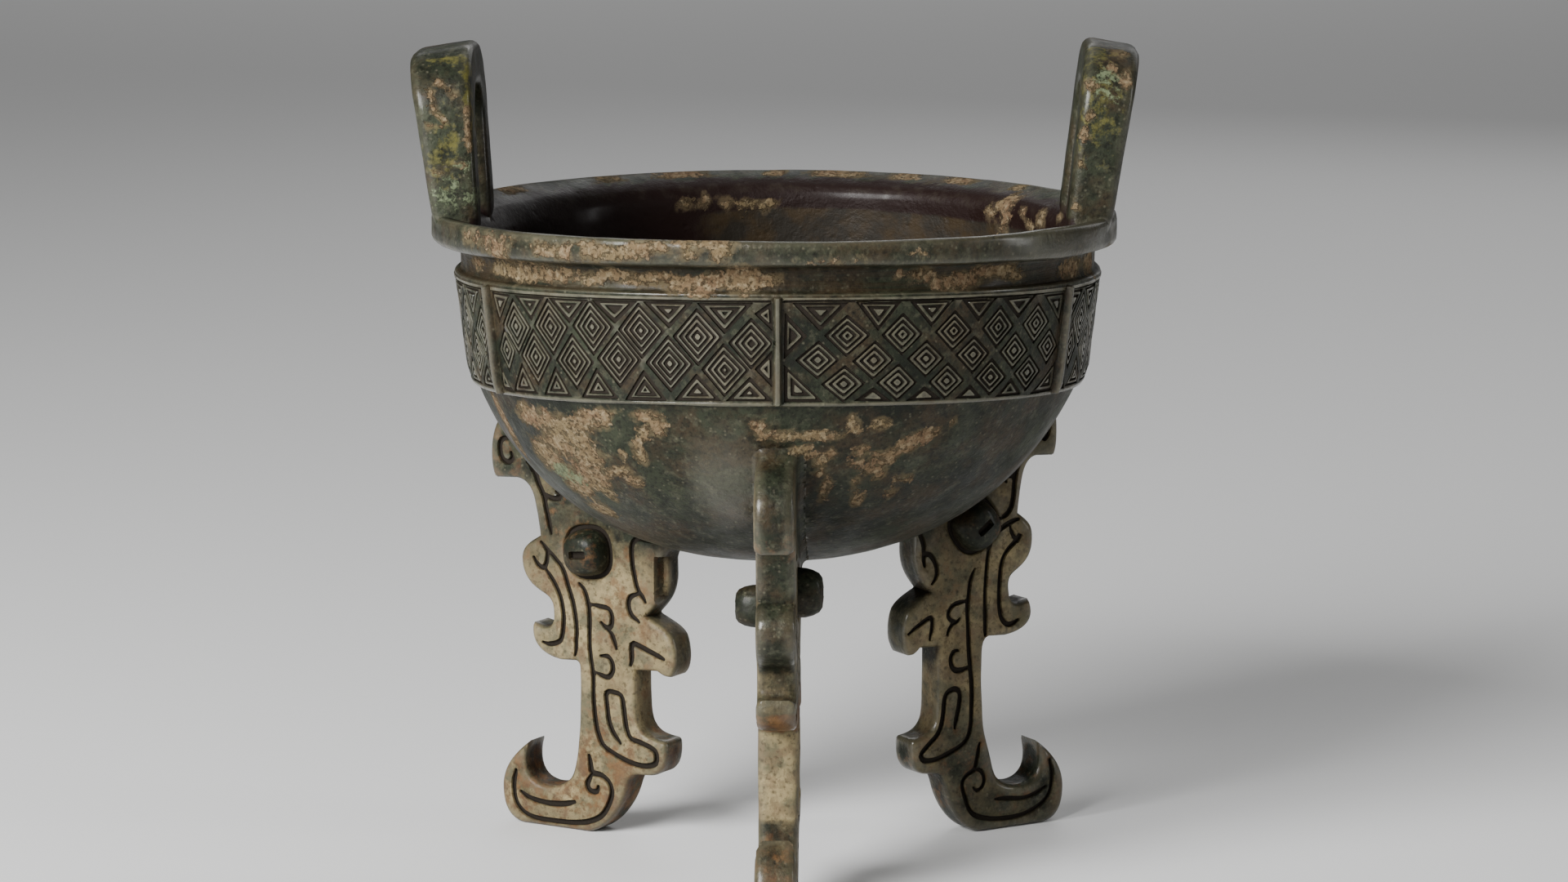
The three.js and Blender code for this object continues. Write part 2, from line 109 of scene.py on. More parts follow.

# Handles
HANDLE_HEIGHT = 39.0
HANDLE_WIDTH = 45.0
HANDLE_POST = 11.0
HANDLE_BAR = 10.5
HANDLE_BASE = 11.0
HANDLE_INSET = 1.8
HANDLE_CROWN = 17.0
HANDLE_EYE_ROUND = 8.0
HANDLE_SINK = 4.2
HANDLE_TUCK = 0.4                # how fast the buried foot of a post draws in from the rim's edge
HANDLE_EDGE = 2.3
HANDLE_STEPS = 18                # points along each part of the arch
HANDLES = [
    {"azimuth": -1.4, "outer_lean": 9.5, "inner_lean": 6.5, "taller": 0.9},
    {"azimuth": 178.6, "outer_lean": 8.9, "inner_lean": 2.8, "taller": 0.0},
]

# Legs. An eye is its offset, size, height over the face and the tilt of its slot, one for each
# side of the plate: first the side that turns left seen from outside, then the other.
LEG_THICKNESS = 9.3
LEG_EDGE = 1.6                   # rounding of the plate's edges
LEG_FILLET = 2.3                 # rounding where the plate meets the bowl
EDGE_ROWS = (0.28, 0.8, LEG_EDGE)  # rows of points inwards from a leg's edge
FILLET_ROWS = (0.0, 0.2, 0.6, 1.2, LEG_FILLET)  # and out from the bowl
FILL_STEP = (1.9, 1.65)          # spacing of the points on a leg's flat, along and up
GROOVE_WIDTH = 1.55
GROOVE_DEPTH = 1.0
GROOVE_WALL = 0.26               # run of a groove's side, seen from above
GROOVE_TAPER = 2.4               # length over which a groove's end narrows
GROOVE_END = 0.62                # its width at the very end, as a share
GROOVE_MARGIN = 0.45             # plain metal between a groove and the plate's edge
EYE_AT = (53.4, 71.7)
EYE_RADIUS = 5.75
EYE_SQUARE = 2.6                 # from 2, a round eye, to higher, a squarer one
EYE_PROFILE = (                  # distance in eye radii, and share of the eye's height
    (0, 1), (0.35, 0.99), (0.6, 0.94), (0.78, 0.82), (0.91, 0.58), (0.985, 0.3))
SOCKET_PROFILE = ((1.02, -1.0), (1.18, -1.0), (1.25, -0.2), (1.32, 0))  # distance, millimetres
EYE_RINGS = (1.32, 1.25, 1.18, 1.02, 0.985, 0.91, 0.78, 0.6)
EYE_CLEAR = 1.42                 # no loose points nearer to an eye than this
SLOT = (2.4, 1.1)                # half length and half height of an eye's slot
SLOT_DEPTH = 1.5
SLOT_WALL = 0.3
LEGS = [
    {"name": "front_leg", "azimuth": -92, "lift": 2.0, "crest": 2.6, "slim": 0.0, "draw": 0.0, "shift": 2.9,
     "eyes": {1: (0, 2.6, 1.0, 5.9, 8), -1: (0, -0.7, 0.86, 5.5, 8)}},
    {"name": "right_leg", "azimuth": 30, "lift": 6.0, "crest": 0.0, "slim": 0.14, "draw": 0.2, "shift": 2.1,
     "eyes": {1: (0, 0, 1.0, 5.3, 20), -1: (-1.5, 1.1, 1.02, 5.4, 37)}},
    {"name": "left_leg", "azimuth": 150, "lift": 0.0, "crest": 0.0, "slim": 0.0, "draw": 0.0, "shift": 2.1,
     "eyes": {1: (0, 0, 1.0, 5.3, -6), -1: (0, 0, 1.0, 5.3, 10)}},
]
WAVE_LONG = (27.0, 0.28)         # length and height of the casting's unevenness
WAVE_SHORT = (6.5, 0.09)
NECK_STEP = {"radius": 34.2, "low": 58.0, "high": 72.4, "depth": 3.8, "wall": 0.4}

# Places in the drawing of the legs, in hundredths of their height
DRAWN_FACE = 56                  # outer edge of the shank
DRAWN_LIFT = (30, 43)            # a leg is lengthened between these heights
DRAWN_DRAW = (45, 60)            # its crest is drawn in above these
DRAWN_CREST = (98, 110)          # and lowered above these
DRAWN_SHANK = ((18, 28), (46, 52))  # the shank begins and ends between these
SLIM_EDGE = (57, 2.5, 0.8)       # a slim leg's outer edge, its reach, and how far it draws in
BURIED = 2.2                     # how far a leg's top reaches into the bowl

# The casting isn't true: the sides of the bowl hang lower than its front, and it leans to +X.
# Each is an amount, heights, and the share of the amount at each height.
SAG = (3.2, [92, 110, 123, 149, 155, 161.5, 175], [0, 0.7, 1.35, 1.0, 0.9, 0.35, 0])
SAG_REACH = 80                   # the sag is full this far from the bowl's axis
DRIFT = (0.9, [90, 125, 154, 157], [0, 1, 1, 0])

MARKS = ("carved", "raised", "boss")
SAME_POINT = 0.02                # a point of the fused mesh has a part's marks within this
SHARPEST_BEND = 1.5              # 1/mm, as are the next two
WORN_BEND = 0.4                  # an edge as sharp as this is fully rubbed, and lightened as wear and as painted highlight
HOLLOW_BEND = 0.35               # and a hollow as sharp as this is fully dark
BOSS_KEPT = 0.8                  # how far the eyes are kept from wear and from earth
EDGE_ANGLE = 38                  # degrees from which an edge is shaded as a crease


# Lines and distances

def drawn_path(start, *parts, step=0.9):
    """Points along a path of parts. A part lists its control points and then its end."""
    points = [np.array(start, float)]
    for part in parts:
        knots = np.vstack([points[-1], np.reshape(part, (-1, 2))])
        length = np.linalg.norm(np.diff(knots, axis=0), axis=1).sum()
        count = max(int(math.ceil(length / step)), 1)
        degree = len(knots) - 1
        for t in np.linspace(0, 1, count + 1)[1:]:
            share = [math.comb(degree, k) * t**k * (1 - t)**(degree - k) for k in range(degree + 1)]
            points.append(np.array(share) @ knots)
    return np.array(points)


def run_along(line):
    """How far each point lies along a line."""
    return np.concatenate([[0], np.cumsum(np.linalg.norm(np.diff(line, axis=0), axis=1))])


def unit(steps):
    """Steps brought to a length of one."""
    return steps / np.linalg.norm(steps, axis=1)[:, None]


def smooth_line(knots, step=0.75):
    """An even, smooth line through its knots."""
    knots = np.array(knots, float)
    ends = np.vstack([2 * knots[0] - knots[1], knots, 2 * knots[-1] - knots[-2]])
    fine = []
    for before, a, b, after in zip(ends, ends[1:], ends[2:], ends[3:]):
        for t in np.arange(0, 1, 0.1):
            fine.append(0.5 * (2 * a + (b - before) * t + (2 * before - 5 * a + 4 * b - after) * t**2
                               + (3 * a - before - 3 * b + after) * t**3))
    fine = np.array(fine + [knots[-1]])
    run = run_along(fine)
    at = np.linspace(0, run[-1], max(int(round(run[-1] / step)), 2) + 1)
    return np.column_stack([np.interp(at, run, fine[:, k]) for k in (0, 1)])


def distances(points, starts, ends):
    """Distance from every point to every straight piece, as a table."""
    along = ends - starts
    length = np.maximum((along**2).sum(1), 1e-12)
    rel = points[:, None, :] - starts[None, :, :]
    t = np.clip((rel * along).sum(2) / length, 0, 1)
    gap = rel - t[:, :, None] * along
    return np.sqrt((gap**2).sum(2))


def outline_gap(points, outline):
    """Distance from every point to a closed outline."""
    return distances(points, outline, np.roll(outline, -1, axis=0)).min(1)


def inside(points, outline):
    """Which points lie within a closed outline."""
    x, y = points[:, 0], points[:, 1]
    held = np.zeros(len(points), bool)
    for (x1, y1), (x2, y2) in zip(outline, np.roll(outline, -1, axis=0)):
        if y1 != y2:
            crosses = (y1 > y) != (y2 > y)
            held ^= crosses & (x < (x2 - x1) * (y - y1) / (y2 - y1) + x1)
    return held


def triangulated(points, edges):
    """Triangles over points that keep the given edges, and where each point ended up."""
    flat = [Vector((float(x), float(y))) for x, y in points]
    made = delaunay_2d_cdt(flat, [tuple(map(int, e)) for e in edges], [], 0, 1e-5, True)
    where = np.full(len(points), -1)
    for new, olds in enumerate(made[3]):
        for old in olds:
            where[old] = new
    return np.array([tuple(v) for v in made[0]]), np.array(made[2]), where


def loop_edges(first, count):
    return [(first + k, first + (k + 1) % count) for k in range(count)]


def line_edges(first, count):
    return [(first + k, first + k + 1) for k in range(count - 1)]


class Skin:
    """Points, faces and marks of a closed mesh while it is being made."""

    def __init__(self):
        self.points, self.faces, self.given = [], [], []
        self.count = 0

    def add(self, points, faces, **marks):
        points = np.asarray(points, float)
        none = np.zeros(len(points))
        self.points.append(points)
        self.given.append(np.column_stack([marks.get(name, none) for name in MARKS]))
        self.faces.extend([tuple(int(v) + self.count for v in face) for face in faces])
        self.count += len(points)

    def all_points(self):
        return np.vstack(self.points)

    def marks(self):
        return np.vstack(self.given)

    def mesh_object(self, name):
        mesh = bpy.data.meshes.new(name)
        mesh.from_pydata(self.all_points().tolist(), [], self.faces)
        tidy = bmesh.new()
        tidy.from_mesh(mesh)
        bmesh.ops.remove_doubles(tidy, verts=tidy.verts, dist=0.002)
        bmesh.ops.recalc_face_normals(tidy, faces=tidy.faces)
        tidy.to_mesh(mesh)
        tidy.free()
        body = bpy.data.objects.new(name, mesh)
        bpy.context.scene.collection.objects.link(body)
        return body


# Bowl

def basin_curve(count):
    """Radius and height down the outside of the basin, from the underside up."""
    rise = BAND_BOTTOM - BASIN_BOTTOM
    return drawn_path(
        (0, BASIN_BOTTOM),
        (UNDERSIDE_SPREAD * BASIN_RADIUS, BASIN_BOTTOM,
         SHOULDER_SPREAD * BASIN_RADIUS, BASIN_BOTTOM + SHOULDER_RISE * rise,
         BASIN_RADIUS, BAND_BOTTOM),
        step=BASIN_ARC / count,
    )


def offset_curve(curve, gap):
    """The basin curve moved outwards by a gap, or inwards by a negative one."""
    along = unit(np.gradient(curve, axis=0))
    return curve + gap * np.column_stack([along[:, 1], -along[:, 0]])


BASIN_FINE = basin_curve(160)


def gap_to_basin(radius, height):
    """Distance from the outside of the basin, negative within it."""
    points = np.column_stack([radius, height])
    table = distances(points, BASIN_FINE[:-1], BASIN_FINE[1:])
    nearest = table.argmin(1)
    along = BASIN_FINE[nearest + 1] - BASIN_FINE[nearest]
    rel = points - BASIN_FINE[nearest]
    outside = along[:, 1] * rel[:, 0] - along[:, 0] * rel[:, 1] > 0
    return np.where(outside, 1, -1) * table.min(1)


def turned_rows(skin, profile):
    """Rings of the bowl, one for each radius and height. A radius of nothing is a pole."""
    turn = np.radians(-90 + np.arange(COLUMNS) * 360 / COLUMNS)
    points = []
    starts = []
    for radius, height in profile:
        starts.append(len(points))
        if radius < 1e-6:
            points.append((0, 0, height))
        else:
            points.extend(zip(radius * np.cos(turn), radius * np.sin(turn), [height] * COLUMNS))
    faces = []
    for a, b, low, high in zip(starts, starts[1:], profile, profile[1:]):
        for k in range(COLUMNS):
            n = (k + 1) % COLUMNS
            if low[0] < 1e-6:
                faces.append((a, b + n, b + k))
            elif high[0] < 1e-6:
                faces.append((a + k, a + n, b))
            else:
                faces.append((a + k, a + n, b + n, b + k))
    skin.add(points, faces)


def bowl_skin():
    """The bowl as rings from the underside up, over the lip and down to the inner floor."""
    skin = Skin()
    outer = basin_curve(BASIN_ROWS)
    outer[-1, 1] -= BASIN_TOP_DROP
    turned_rows(skin, [*map(tuple, outer), *BAND_FOOT])
    wall = [(WALL_RADIUS - WALL_HOLLOW * math.sin(math.pi * t), WALL_TOP - t * (WALL_TOP - BAND_BOTTOM))
            for t in np.linspace(0, 1, WALL_ROWS)]
    bottom = offset_curve(basin_curve(FLOOR_ROWS), -BASIN_WALL)
    bottom = bottom[bottom[:, 1] < BAND_BOTTOM - 1.5][::-1]
    bottom[-1, 0] = 0
    turned_rows(skin, [*NECK_AND_RIM, *wall, *map(tuple, bottom)])
    for panel in range(PANELS):
        band_panel(skin, panel)
    return skin


# Band of lozenges. A place on it is in degrees from the panel's first rib, and millimetres down
# from the upper border line.

def lozenge(turn, down, half_width, half_height):
    wide = half_width / ARC_PER_DEGREE
    return [(turn - wide, down), (turn, down - half_height), (turn + wide, down),
            (turn, down + half_height)]


def wedges(base, spots):
    """Triangles with their bases on a border line, from where each is, its tip and half width."""
    made = []
    for turn, tip, half_width in spots:
        wide = half_width / ARC_PER_DEGREE
        made.append([(turn - wide, base), (turn + wide, base), (turn, tip)])
    return made


def two_row_figures():
    """Two staggered rows of lozenges, with triangles along the borders and the last rib."""
    upper = [(8.2, 7.5), (17.5, 7.0), (26.8, 6.5), (36.3, 7.0), (46.4, 8.2)]
    lower = [(12.9, 14.3), (22.4, 14.7), (31.8, 13.8), (41.4, 14.5)]
    figures = [lozenge(turn, down, 5.55, 6.3) for turn, down in upper + lower]
    figures += [lozenge(55.6, 9.6, 4.9, 5.6), lozenge(51.0, 15.8, 5.3, 5.9), lozenge(4.3, 13.4, 3.5, 4.9)]
    figures += wedges(0.45, ((12.6, 5.6, 4.7), (22.0, 5.4, 5.0), (31.4, 5.1, 5.1), (41.4, 5.9, 5.2),
                             (51.2, 6.9, 5.6)))
    figures += wedges(22.8, ((8.6, 16.4, 4.6), (17.6, 16.5, 4.4), (27.2, 16.3, 4.8), (36.5, 16.6, 4.8),
                             (46.1, 17.2, 5.0), (55.2, 17.9, 4.7)))
    return figures + [
        [(1.4, 0.45), (6.9, 0.45), (2.8, 6.9)], [(1.3, 17.4), (4.4, 22.8), (1.3, 22.8)],
        [(56.6, 2.7), (58.9, 0.7), (58.9, 5.9)], [(56.5, 15.5), (58.9, 12.1), (58.9, 18.9)],
    ]


def three_row_figures():
    """Three rows of smaller, squarer lozenges with plain bands between them."""
    rows = (
        (11.8, 9.75, (7.9, 7.8, 7.3, 6.9, 6.7), 5.0, 4.6),
        (6.9, 9.65, (13.5, 13.7, 13.5, 13.0, 12.7), 4.8, 4.25),
        (11.4, 9.6, (19.0, 18.9, 18.9, 18.5, 18.0), 4.9, 4.1),
    )
    figures = [lozenge(first + pitch * k, down, wide, high)
               for first, pitch, downs, wide, high in rows for k, down in enumerate(downs)]
    figures.append(lozenge(55.3, 12.4, 4.4, 4.2))
    figures += wedges(0.45, ((7.2, 6.2, 5.6), (17.1, 6.4, 4.6), (26.8, 6.0, 5.0), (36.4, 4.9, 4.5),
                             (45.8, 4.8, 4.8)))
    figures += wedges(22.9, ((16.6, 20.3, 3.6), (26.3, 20.2, 3.7), (35.7, 20.2, 3.3), (45.4, 19.4, 4.0)))
    return figures + [
        [(1.4, 3.2), (4.7, 8.0), (1.4, 12.4)], [(1.4, 15.2), (7.4, 22.9), (1.4, 22.9)],
        [(52.6, 0.45), (58.9, 0.45), (58.2, 7.2)], [(52.2, 22.9), (58.9, 16.2), (58.9, 22.9)],
    ]


def shrunk(figure, inset):
    """A figure's corners moved in by an even distance, or None where nothing is left."""
    centre = figure.mean(0)
    for _ in range(12):
        starts, ends = figure, np.roll(figure, -1, axis=0)
        side = distances(centre[None], starts, ends)[0]
        weight = 1 / np.maximum(side, 0.05)
        near = starts + (((centre - starts) * (ends - starts)).sum(1)
                         / ((ends - starts)**2).sum(1))[:, None] * (ends - starts)
        away = centre - near
        away /= np.maximum(np.linalg.norm(away, axis=1), 1e-6)[:, None]
        centre = centre + 0.2 * (away * (weight / weight.sum())[:, None]).sum(0)
    reach = outline_gap(centre[None], figure)[0]
    share = 1 - inset / reach
    return centre + (figure - centre) * share if share > 0.04 else None


def figure_rings(corners):
    """The nested lines of one figure as rings: points, height, carved mark, raised mark."""
    rings = []
    level = 0.0
    start = 0.0
    while True:
        for inset, height, carved, raised in ((0.0, level, 0.0, 0.0), *FINE_LINE):
            ring = shrunk(corners, start + inset - FIGURE_GROWTH)
            if ring is None:
                return rings
            rings.append((ring, height, carved, raised))
        start += LINE_PITCH
        level = LINE_LEVEL


def ring_points(ring):
    """A ring with points along its sides and slightly softened corners."""
    points = []
    for a, b in zip(ring, np.roll(ring, -1, axis=0)):
        length = np.linalg.norm(b - a)
        cut = min(0.22, 0.2 * length)
        count = max(int(round(length / 1.5)), 1)
        for t in np.linspace(cut / length, 1 - cut / length, count + 1):
            points.append(a + (b - a) * t)
    return np.array(points)


def band_panel(skin, panel):
    """One panel of the band from rib to rib, its edges shared with its neighbours."""
    chance = random.Random(FIGURE_SEED + panel)
    width = PANEL_TURN * ARC_PER_DEGREE
    points, heights, carved, raised, edges = [], [], [], [], []

    def put(line, height, mark, ridge, closed):
        first = len(points)
        points.extend(line)
        heights.extend(np.broadcast_to(height, len(line)))
        carved.extend([mark] * len(line))
        raised.extend([ridge] * len(line))
        edges.extend(loop_edges(first, len(line)) if closed else line_edges(first, len(line)))

    across = np.linspace(0, width, COLUMNS // PANELS + 1)
    upright = np.linspace(0.35, BAND_HEIGHT - 0.35, 24)
    put([(x, 0) for x in across], 0, 0, 0, False)
    put([(x, BAND_HEIGHT) for x in across], 0, 0, 0, False)
    for side in (0, 1):
        for at, share in RIB_SECTION:
            x = width - at if side else at
            put([(x, v) for v in upright], RIB_PROUD * share, 0.0, RIB_RAISED, False)
    inner = np.linspace(1.5, width - 1.5, 60)
    for down, height, mark, ridge in BORDER_LINES:
        put([(x, BAND_HEIGHT - down) for x in inner], height, mark, ridge, False)

    along, up = FIGURE_STRAY
    for figure in (three_row_figures() if panel == 0 else two_row_figures()):
        corners = np.array([
            (turn * ARC_PER_DEGREE + chance.uniform(-along, along),
             BAND_HEIGHT - TOP_LINE - down + chance.uniform(-up, up)) for turn, down in figure
        ])
        for ring, height, mark, ridge in figure_rings(corners):
            put(list(ring_points(ring)), height, mark, ridge, True)

    flat, faces, where = triangulated(points, edges)
    kept = where >= 0
    rise, mark, ridge = np.zeros((3, len(flat)))
    for target, given in ((rise, heights), (mark, carved), (ridge, raised)):
        target[where[kept]] = np.array(given)[kept]
    turn = np.radians(-90 + PANEL_TURN * panel) + flat[:, 0] / BAND_MIDDLE_RADIUS
    share = flat[:, 1] / BAND_HEIGHT
    radius = BAND_BOTTOM_RADIUS + share * (BAND_TOP_RADIUS - BAND_BOTTOM_RADIUS) + rise
    placed = np.column_stack([radius * np.cos(turn), radius * np.sin(turn), BAND_BOTTOM + flat[:, 1]])
    skin.add(placed, faces, carved=mark, raised=ridge)


# Handles

def arch_line(half_width, height, corner, sink, count):
    """Half an arch outline and its mirror, with the same number of points whatever its size."""
    side = np.linspace(-sink, height - corner, count)
    turn = np.linspace(0, math.pi / 2, count + 1)[1:]
    top = np.linspace(half_width - corner, 0, count)[1:]
    right = [(half_width, up) for up in side]
    right += [(half_width - corner + corner * math.cos(a), height - corner + corner * math.sin(a))
              for a in turn]
    right += [(x, height) for x in top]
    left = [(-x, up) for x, up in right[-2::-1]]
    return np.array(right + left)


def rounded_section(reach, depth):
    """A rounded rectangle about its middle, with points along its flats too."""
    a, b = reach / 2 - HANDLE_EDGE, depth / 2 - HANDLE_EDGE
    arcs = []
    for u, v, start in ((a, b, 0), (-a, b, 90), (-a, -b, 180), (a, -b, 270)):
        turn = np.radians(start + np.linspace(0, 90, 5))
        arcs.append(np.column_stack([u + HANDLE_EDGE * np.cos(turn), v + HANDLE_EDGE * np.sin(turn)]))
    points = []
    for arc, after in zip(arcs, arcs[1:] + arcs[:1]):
        points.extend(arc)
        points.extend(arc[-1] + (after[0] - arc[-1]) * t for t in (0.25, 0.5, 0.75))
    return np.array(points)


def smooth_step(value, low, high):
    t = np.clip((value - low) / (high - low), 0, 1)
    return t * t * (3 - 2 * t)


def turned(points, azimuth, shift=0.0):
    """Points drawn at azimuth nothing, turned about the bowl's axis."""
    turn = math.radians(azimuth)
    return np.column_stack([
        points[:, 0] * math.cos(turn) - points[:, 1] * math.sin(turn) + shift,
        points[:, 0] * math.sin(turn) + points[:, 1] * math.cos(turn),
        points[:, 2],
    ])


def handle_skin(handle):
    """A rounded section led round the loop from one foot to the other."""
    skin = Skin()
    top = HANDLE_HEIGHT + handle["taller"]
    outer = arch_line(HANDLE_WIDTH / 2, top, HANDLE_CROWN, HANDLE_SINK, HANDLE_STEPS)
    inner = arch_line(HANDLE_WIDTH / 2 - HANDLE_POST, top - HANDLE_BAR, HANDLE_EYE_ROUND,
                      HANDLE_SINK, HANDLE_STEPS)
    base = RIM_RADIUS - HANDLE_INSET
    lean = [math.tan(math.radians(handle[face])) for face in ("outer_lean", "inner_lean")]
    points = []
    for far, near in zip(outer, inner):
        reach = np.linalg.norm(far - near)
        depth = HANDLE_BASE + (far[1] + near[1]) / 2 * (lean[0] - lean[1])
        section = rounded_section(reach, depth)
        spot = (far + near) / 2 + section[:, :1] * (far - near) / reach
        up = spot[:, 1]
        inner_face = base - HANDLE_BASE + np.maximum(up, 0) * lean[1]
        outer_face = base + np.where(up > 0, up * lean[0], up * HANDLE_TUCK)
        x = (inner_face + outer_face) / 2 + section[:, 1] / depth * (outer_face - inner_face)
        fall = smooth_step(up, top - HANDLE_CROWN, top) * (x - inner_face) * lean[0]
        points.append(np.column_stack([x, spot[:, 0], RIM_TOP + up - fall]))
    size = len(points[0])
    faces = []
    for r in range(len(points) - 1):
        for k in range(size):
            n = (k + 1) % size
            faces.append((r * size + k, r * size + n, (r + 1) * size + n, (r + 1) * size + k))
    faces.append(tuple(range(size)))
    faces.append(tuple((len(points) - 1) * size + k for k in range(size)))
    skin.add(turned(np.vstack(points), handle["azimuth"]), faces)
    return skin


# Legs. Drawn in hundredths of the leg's height: across from the bowl's axis, and up.

LEG_EDGE_DRAWN = drawn_path(
    (63.5, 119), (67.6, 117.4), (69.4, 111.4, 74, 109.5), (78.6, 107.4, 80.6, 102.7),
    (83.4, 98, 83, 90, 81.2, 88.2), (75.4, 88.5), (70.5, 88.3, 70, 84, 69, 80), (68.1, 74.6),
    (70.8, 72.9, 73.4, 72, 73.6, 68.6), (73.7, 63, 70, 61.2, 66.9, 59.6),
    (64.6, 58.5, 64.2, 57, 64.3, 53.5), (64.8, 51.5, 66.8, 51.4), (70.4, 52.2),
    (71.3, 48, 69, 44.2, 62.3, 43.4), (57.8, 43.7), (56.5, 43.5, 56.4, 42),
    (56.1, 34, 56.8, 20, 59.2, 14.4), (61, 10.6, 67.5, 9.6, 70.6, 12), (72.8, 13.8, 73, 17, 71.8, 21.5),
    (76.5, 18.2, 80.6, 14, 80, 7.6), (79.8, 3.4, 77.6, 0, 73, 0), (54.5, 0),
    (49.5, 0.6, 44.4, 6.6, 42.9, 12.2), (42, 15.6, 40.2, 16.2), (36, 16.5),
    (32.2, 17, 30.9, 19.4, 31, 24.2), (31, 25.8, 32.6, 25.9), (36.5, 26.3, 39.6, 27.2, 39.8, 33),
    (40, 42.8), (34, 43), (31.6, 41.4, 29.8, 42), (27.6, 43.6, 28, 49.6, 29.4, 52.2),
    (30.8, 54.2, 33.4, 55.3, 36.9, 56.9), (33.6, 60, 31.6, 63.5, 31.9, 68), (32, 71),
    (31.4, 74.4, 27.6, 75.4), (25.5, 76.6),
)

LEG_STROKES_DRAWN = [
    [(76.7, 98.7), (78.7, 98.3), (79.4, 96.5), (79, 93.8), (77.3, 92.5), (75.8, 93.5), (76.2, 95)],
    [(71.3, 93.1), (69.2, 90.8), (67.9, 87.7), (66.5, 85), (65.8, 81.9), (65, 78.8), (64.4, 75.4)],
    [(66.9, 85.4), (63.8, 84.4), (61.5, 85), (62.7, 86.2)],
    [(67.4, 73), (65.8, 71.5), (63.1, 69.2), (60.8, 66.5), (59.4, 62.7), (58.1, 58.8), (57.3, 55),
     (56.9, 51.2), (57.1, 49), (57.1, 47.1), (57.6, 45)],
    [(65.8, 71.2), (65.6, 68.5), (66.9, 66.5), (68.8, 67.7), (69.6, 69)],
    [(66.2, 66.2), (63.8, 63.5), (61.9, 60), (61, 56.5), (60.8, 53.1), (61.5, 49), (63.1, 47.7),
     (65.4, 47.2), (67.1, 47.5)],
    [(56.2, 63.5), (54.6, 61.9), (53.5, 58.8), (53.1, 55), (53.1, 48.2), (52.7, 44.4), (52.1, 40.5),
     (52.1, 36.7), (51.9, 32.5), (51.3, 27.8), (50.4, 24.8), (49.2, 22.8), (46.5, 21.3), (42.7, 19.8),
     (38.8, 19), (35.8, 19.2), (33.9, 20.2), (33.9, 22.5), (35, 23.6), (38.5, 24.8), (41.2, 25.5),
     (42.3, 27.5), (42.9, 30.2), (43.3, 33.2), (44, 36.1), (46.2, 36.8), (48.3, 36.5), (48.1, 33.2),
     (47.5, 29), (46.2, 26.3), (44.4, 24)],
    [(52.7, 58.5), (50.4, 58.3), (47.7, 57.9), (46.6, 56.2), (46.9, 53.5), (48.5, 53.1), (49.8, 54.2)],
    [(48.1, 52.7), (46.5, 51.2), (45.4, 48)],
    [(50, 45.7), (47.7, 45.7), (46.5, 44), (46.5, 42.1), (47.7, 40.5), (49.6, 40.7), (51.5, 41.3)],
    [(31.7, 46.7), (35, 48), (39.2, 49.5), (40.8, 49.6), (40.8, 46.3), (41.3, 44.2)],
    [(33, 76.2), (36, 76.4), (38.8, 76.5), (40.4, 75), (40.6, 71.9), (40.1, 68.1), (39, 63.8),
     (37.7, 61.9), (36.9, 60.6)],
    [(39, 62.5), (41.2, 61.5), (41.7, 59.2), (40.8, 56.9), (38.8, 55.4)],
    [(53.7, 19.8), (53.1, 17.1), (52.7, 15.5), (50, 15.2), (47.7, 13.6), (46.9, 10.9), (47.9, 7.8),
     (50, 4.8), (53.8, 2.8), (58.8, 1.9), (64.6, 1.7), (69.6, 1.9), (73.3, 3.1), (75.6, 5.8),
     (76.2, 9.8), (75.6, 13.6)],
    [(53.1, 14.8), (54.2, 12.5), (53.5, 10.9), (51.5, 10.7), (51, 12.1)],
    [(58.1, 7.3), (61.5, 6.4), (66.5, 6.1), (71.5, 6.9), (74.2, 8.2)],
]


